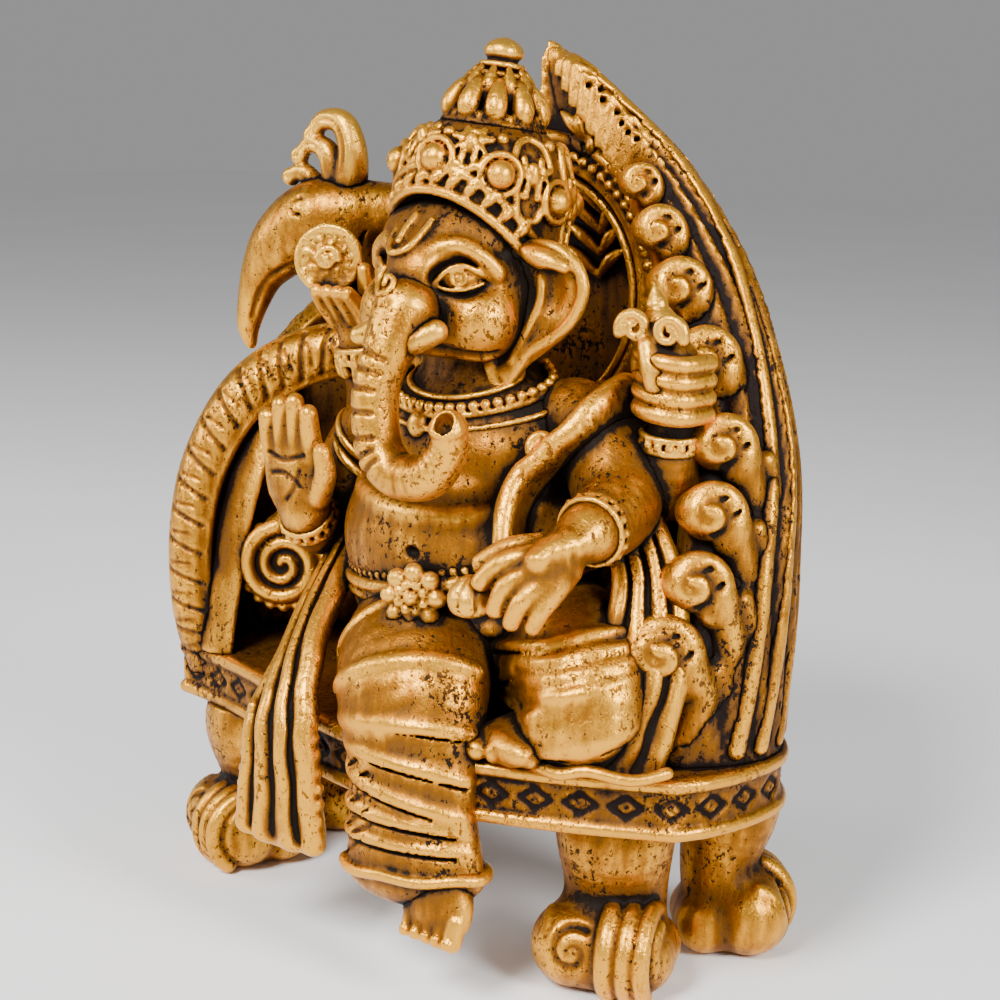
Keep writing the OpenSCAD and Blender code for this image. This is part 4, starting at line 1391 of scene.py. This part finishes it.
def sculpt_bird_head(clay):
    clay.part("bird_head", 0.8)
    clay.add(limb([
        [-20, 27, 160, 6],
        [-34, 20, 160.4, 6.4],
        [-44, 14, 160, 7.6],
        [-52, 11.4, 157.6, 9.2],
        [-59.4, 9.4, 152, 8.2],
        [-65, 8, 145, 5.6],
        [-68, 7.4, 137.6, 4],
        [-69.4, 7, 131, 2.8],
        [-68.6, 7, 126.6, 1.4]
    ], 5), 1.5)
    clay.add(limb([[-46, 15, 158, 8], [-44.6, 15.6, 146, 8], [-38, 19, 134, 8], [-36, 21, 128, 7]]), 4)
    for side in (-1, 1):
        jaw = [
            (-49, 11 + side * 4, 148.6), (-57, 9.6 + side * 5, 145.6), (-63, 8.4 + side * 4, 140.6),
            (-66.4, 8 + side * 3, 133.6)
        ]
        clay.carve(rope(jaw, 0.6), 0.6)
    clay.carve(ring((-50.6, 3.6, 161), 1.9, 0.45, (0.5, -0.85, 0.3)), 0.3)
    clay.add(ball((-50.8, 4, 160.8), 1.2), 0.2)
    for k in range(4):
        line = [
            (-24 - 5 * k, 14 - 0.3 * k, 162 - k), (-28 - 5 * k, 12, 156 - k), (-26 - 5 * k, 14, 150 - k)
        ]
        clay.carve(rope(line, 0.5), 0.5)


def sculpt_bird_crest(clay):
    clay.part("bird_crest", 0.5)
    for plume in (
        [
            [-45, 14, 162, 5], [-42.4, 13.4, 169, 4], [-42, 13, 175, 3.4], [-44.6, 12.6, 180.4, 3],
            [-50, 12.2, 181, 2.4], [-53.4, 12, 177.4, 1.9]
        ],
        [
            [-47, 13.4, 163, 4.4], [-47, 12.6, 169, 3.2], [-49, 12, 174, 2.7], [-53.6, 11.8, 175.4, 2.1],
            [-57, 11.6, 172.4, 1.8]
        ],
        [[-50, 12.8, 161, 4], [-52.4, 12, 165.6, 2.8], [-56, 11.6, 168.6, 2.3], [-59.6, 11.4, 167.4, 1.9]]
    ):
        clay.add(limb(plume, 5), 0.5)
        clay.add(ball(plume[-1][:3], 2.3), 0.3)
        vein = touch(limb(plume, 5), [vec(q[0], -30, q[2]) for q in plume[1:]], (0, 1, 0), 0)
        clay.carve(rope(vein, 0.5), 0.3)


# ---------------------------------------------------------------- antique gold finish, with painted shade
class Graph:
    """Shorthand for building one material's nodes."""

    def __init__(self, name):
        self.material = bpy.data.materials.new(name)
        self.material.use_nodes = True
        self.tree = self.material.node_tree
        self.shader = self.tree.nodes["Principled BSDF"]
        self.place = self.node("ShaderNodeTexCoord").outputs["Object"]

    def node(self, kind, **values):
        n = self.tree.nodes.new(kind)
        for key, value in values.items():
            setattr(n, key, value)
        return n

    def put(self, socket, value):
        """Links an output to a socket, or sets the socket to a plain value."""
        if isinstance(value, bpy.types.NodeSocket):
            self.tree.links.new(value, socket)
        else:
            socket.default_value = value

    def math(self, operation, a, b=0.0, c=0.0, clamp=False):
        n = self.node("ShaderNodeMath", operation=operation, use_clamp=clamp)
        for socket, value in zip(n.inputs, (a, b, c)):
            self.put(socket, value)
        return n.outputs[0]

    def noise(self, scale, detail=2.0, stretch=(1, 1, 1), roughness=0.5):
        m = self.node("ShaderNodeMapping")
        self.put(m.inputs["Vector"], self.place)
        m.inputs["Scale"].default_value = stretch
        n = self.node("ShaderNodeTexNoise")
        self.put(n.inputs["Vector"], m.outputs[0])
        n.inputs["Scale"].default_value = scale
        n.inputs["Detail"].default_value = detail
        n.inputs["Roughness"].default_value = roughness
        return n.outputs[0]

    def spread(self, value, low, high, to_low=0.0, to_high=1.0):
        n = self.node("ShaderNodeMapRange", interpolation_type="SMOOTHSTEP")
        for socket, v in zip(n.inputs, (value, low, high, to_low, to_high)):
            self.put(socket, v)
        return n.outputs[0]

    def attribute(self, name):
        return self.node("ShaderNodeAttribute", attribute_name=name).outputs["Fac"]

    def ramp(self, value, stops):
        n = self.node("ShaderNodeValToRGB")
        band = n.color_ramp
        while len(band.elements) < len(stops):
            band.elements.new(0.5)
        for element, (position, colour) in zip(band.elements, stops):
            element.position = position
            element.color = (*colour, 1)
        self.put(n.inputs[0], value)
        return n.outputs[0]


def antique(name, shift, umber, gold, bright):
    """Gold paint over dark umber: rubbed bright on what stands out, dark and speckled in the hollows; painted
    shade darkens it between castings.
    """
    g = Graph(name)
    relief, painted_shade = g.attribute("relief"), g.attribute("painted_shade")
    patch = g.noise(70, 3)
    streak = g.noise(420, 3, (1, 1, 0.22))
    grain = g.noise(1700, 2, roughness=0.7)
    speck = g.noise(800, 3, (1, 1, 0.8), 0.75)
    wear_and_shade = g.math("MULTIPLY_ADD", relief, 2.6, 0.5 + shift)
    wear_and_shade = g.math("MULTIPLY_ADD", g.math("SUBTRACT", patch, 0.5), 0.8, wear_and_shade)
    wear_and_shade = g.math("MULTIPLY_ADD", g.math("SUBTRACT", streak, 0.5), 0.8, wear_and_shade)
    wear_and_shade = g.math("MULTIPLY_ADD", g.math("SUBTRACT", grain, 0.5), 0.35, wear_and_shade)
    # Painted shade: the colour is darkened where castings crowd each other, standing in for the shade that
    # falls between them
    wear_and_shade = g.math("MULTIPLY_ADD", painted_shade, -0.26, wear_and_shade)
    pits = g.spread(g.math("MULTIPLY_ADD", g.math("SUBTRACT", patch, 0.5), 0.5, speck), 0.585, 0.65)
    wear_and_shade = g.math("MULTIPLY_ADD", pits, -0.65, wear_and_shade, clamp=True)
    colour = g.ramp(wear_and_shade, [
        (0.0, umber),
        (0.2, [0.7 * a + 0.3 * b for a, b in zip(umber, gold)]),
        (0.42, [0.62 * c for c in gold]),
        (0.62, gold),
        (1.0, bright)
    ])
    g.put(g.shader.inputs["Base Color"], colour)
    g.put(g.shader.inputs["Metallic"], g.spread(wear_and_shade, 0.1, 0.5, 0.2, 0.93))
    g.put(g.shader.inputs["Specular IOR Level"], g.spread(wear_and_shade, 0.1, 0.5, 0.12, 0.5))
    rough = g.spread(wear_and_shade, 0.1, 0.9, 0.62, 0.34)
    g.put(g.shader.inputs["Roughness"], g.math("MULTIPLY_ADD", g.math("SUBTRACT", grain, 0.5), 0.25, rough))
    height = g.math("MULTIPLY_ADD", speck, -0.6, g.math("MULTIPLY", streak, 0.7))
    height = g.math("MULTIPLY_ADD", pits, -0.5, g.math("ADD", height, g.math("MULTIPLY", grain, 0.3)))
    bump = g.node("ShaderNodeBump")
    bump.inputs["Strength"].default_value = 0.5
    bump.inputs["Distance"].default_value = 0.0005
    g.put(bump.inputs["Height"], height)
    g.put(g.shader.inputs["Normal"], bump.outputs[0])
    return g.material


FINISH = {
    "antique_gold": antique(
        "antique_gold", 0.04, (0.008, 0.004, 0.002), (0.33, 0.118, 0.004), (0.82, 0.38, 0.022)
    ),
    "bright_gold": antique(
        "bright_gold", 0.05, (0.01, 0.005, 0.003), (0.37, 0.14, 0.006), (0.88, 0.45, 0.04)
    ),
    "dark_gold": antique("dark_gold", -0.03, (0.007, 0.003, 0.002), (0.28, 0.1, 0.004), (0.76, 0.34, 0.02))
}


# ---------------------------------------------------------------- building the pieces
def slot_of(node):
    """The material slot that the record gives a node."""
    return next(part["material_slot"] for part in frame["record"]["subparts"] if part["node"] == node)


def crowding(pieces):
    """How enclosed each place is, 0 in the open to 1 deep between castings, on a coarse grid, used for
    painting shade into the colour.
    """
    cell = 2.0
    everything = np.concatenate([p[0] for p in pieces.values()])
    low = everything.min(0) - 24
    shape = ((everything.max(0) + 24 - low) / cell).astype(int) + 1
    filled = np.zeros(shape, np.float32)
    spots = ((everything - low) / cell).astype(int)
    filled[spots[:, 0], spots[:, 1], spots[:, 2]] = 1
    near, wide = filled, filled
    for _ in range(2):
        for axis in range(3):
            near = box_blur(near, 2, axis)
            wide = box_blur(wide, 6, axis)
    return low, cell, near, wide


def make_piece(name, piece, air):
    """Turns one meshed part into the object that stands for its node."""
    points, triangles, quads, relief = piece
    mesh = bpy.data.meshes.new(name + "_cast")
    count_t, count_q = len(triangles), len(quads)
    mesh.vertices.add(len(points))
    mesh.vertices.foreach_set("co", (points * MM).astype(np.float32).ravel())
    corners = np.concatenate([triangles.ravel(), quads.ravel()]).astype(np.int32)
    mesh.loops.add(len(corners))
    mesh.loops.foreach_set("vertex_index", corners)
    mesh.polygons.add(count_t + count_q)
    starts = np.concatenate([np.arange(count_t) * 3, count_t * 3 + np.arange(count_q) * 4]).astype(np.int32)
    mesh.polygons.foreach_set("loop_start", starts)
    mesh.polygons.foreach_set("use_smooth", np.ones(count_t + count_q, bool))
    mesh.update(calc_edges=True)
    normals = np.zeros(len(points) * 3, np.float32)
    mesh.vertices.foreach_get("normal", normals)
    normals = normals.reshape(-1, 3)
    low, cell, near, wide = air
    spot = (points + normals * 3.0 - low) / cell - 0.5
    far_spot = (points + normals * 9.0 - low) / cell - 0.5
    # Painted shade: how crowded the space just outside each vertex is, stored as an attribute that darkens
    # the gold colour
    painted_shade = np.clip(2.0 * sample(near, spot) + 2.4 * sample(wide, far_spot) - 0.4, 0, 1)
    for label, values in (("relief", relief), ("painted_shade", painted_shade)):
        layer = mesh.attributes.new(label, "FLOAT", "POINT")
        layer.data.foreach_set("value", values.astype(np.float32))
    obj = bpy.data.objects.new(name + "_cast", mesh)
    bpy.context.collection.objects.link(obj)
    where = slot_of(name)
    mesh.materials.append(FINISH[where])
    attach(obj, "root")
    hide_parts(name)


# Each group is sculpted on one grid, with its spacing in mm.
HEAD_GRID = 0.42
BODY_GRID = 0.5
THRONE_GRID = 0.62
HEAD = (
    sculpt_head, sculpt_trunk, sculpt_tusks, sculpt_ears, sculpt_crown, sculpt_crown_tier, sculpt_crown_finial
)
BODY = (
    sculpt_torso, sculpt_necklace, sculpt_belt, sculpt_right_leg, sculpt_right_foot, sculpt_left_leg,
    sculpt_left_foot, sculpt_front_left_arm, sculpt_front_right_arm, sculpt_rear_left_arm,
    sculpt_rear_right_arm, sculpt_bracelets, sculpt_sweet, sculpt_conch, sculpt_lotus,
    sculpt_shoulder_shawl, sculpt_seat_drape, sculpt_hip_drape
)
THRONE = (
    sculpt_plinth, sculpt_seat_legs, sculpt_throne_back, sculpt_halo_ring, sculpt_right_arm_wing,
    sculpt_left_arm_wing, sculpt_wing_curls, sculpt_wing_feathers, sculpt_arm_arch, sculpt_arm_scroll,
    sculpt_bird_head, sculpt_bird_crest
)
pieces = {}
for grid, group in ((HEAD_GRID, HEAD), (BODY_GRID, BODY), (THRONE_GRID, THRONE)):
    clay = Clay(grid)
    for sculpt in group:
        sculpt(clay)
    pieces.update(clay.meshes())
air = crowding(pieces)
for name in pieces:
    make_piece(name, pieces[name], air)


# ---------------------------------------------------------------- studio
def area_light(name, place, size, power):
    """Round soft light aimed at the middle of the idol."""
    lamp = bpy.data.lights.new(name, "AREA")
    lamp.shape = "DISK"
    lamp.size = size
    lamp.energy = power
    obj = bpy.data.objects.new(name, lamp)
    bpy.context.collection.objects.link(obj)
    obj.location = place
    obj.rotation_euler = (Vector((0, 0, 0.1)) - Vector(place)).to_track_quat("-Z", "Y").to_euler()


def studio():
    world = bpy.data.worlds.new("studio")
    world.use_nodes = True
    bpy.context.scene.world = world
    back = world.node_tree.nodes["Background"]
    back.inputs[0].default_value = (1, 1, 1, 1)
    back.inputs[1].default_value = 0.32
    area_light("key", (0.05, -0.75, 0.75), 0.35, 16)
    area_light("side", (0.75, -0.15, 0.45), 0.3, 8)
    area_light("fill", (-0.7, -0.5, 0.4), 0.4, 4.5)
    size = 3.0
    mesh = bpy.data.meshes.new("floor")
    mesh.from_pydata([
        (-size, -size, 0), (size, -size, 0), (size, size, 0), (-size, size, 0)
    ], [], [(0, 1, 2, 3)])
    floor = bpy.data.objects.new("floor", mesh)
    bpy.context.collection.objects.link(floor)
    g = Graph("paper")
    mottled = g.ramp(g.noise(6, 2), [(0.3, (0.92, 0.92, 0.92)), (0.7, (0.95, 0.95, 0.95))])
    g.put(g.shader.inputs["Base Color"], mottled)
    g.shader.inputs["Roughness"].default_value = 0.8
    mesh.materials.append(g.material)


def camera():
    azimuth, height, roll = (math.radians(a) for a in (36, 11.5, 1.5))
    aim = Vector((-0.0015, 0.020, 0.095))
    back = Vector((
        math.sin(azimuth) * math.cos(height), -math.cos(azimuth) * math.cos(height), math.sin(height)
    ))
    right = Vector((math.cos(azimuth), math.sin(azimuth), 0))
    up = back.cross(right)
    r = right * math.cos(roll) + up * math.sin(roll)
    u = up * math.cos(roll) - right * math.sin(roll)
    cam = bpy.data.cameras.new("camera")
    cam.lens = 72
    cam.sensor_width = 36
    cam.clip_start = 0.01
    obj = bpy.data.objects.new("camera", cam)
    bpy.context.collection.objects.link(obj)
    obj.matrix_world = Matrix.Translation(aim + back * 0.468) @ Matrix((r, u, back)).transposed().to_4x4()
    bpy.context.scene.camera = obj


studio()
camera()
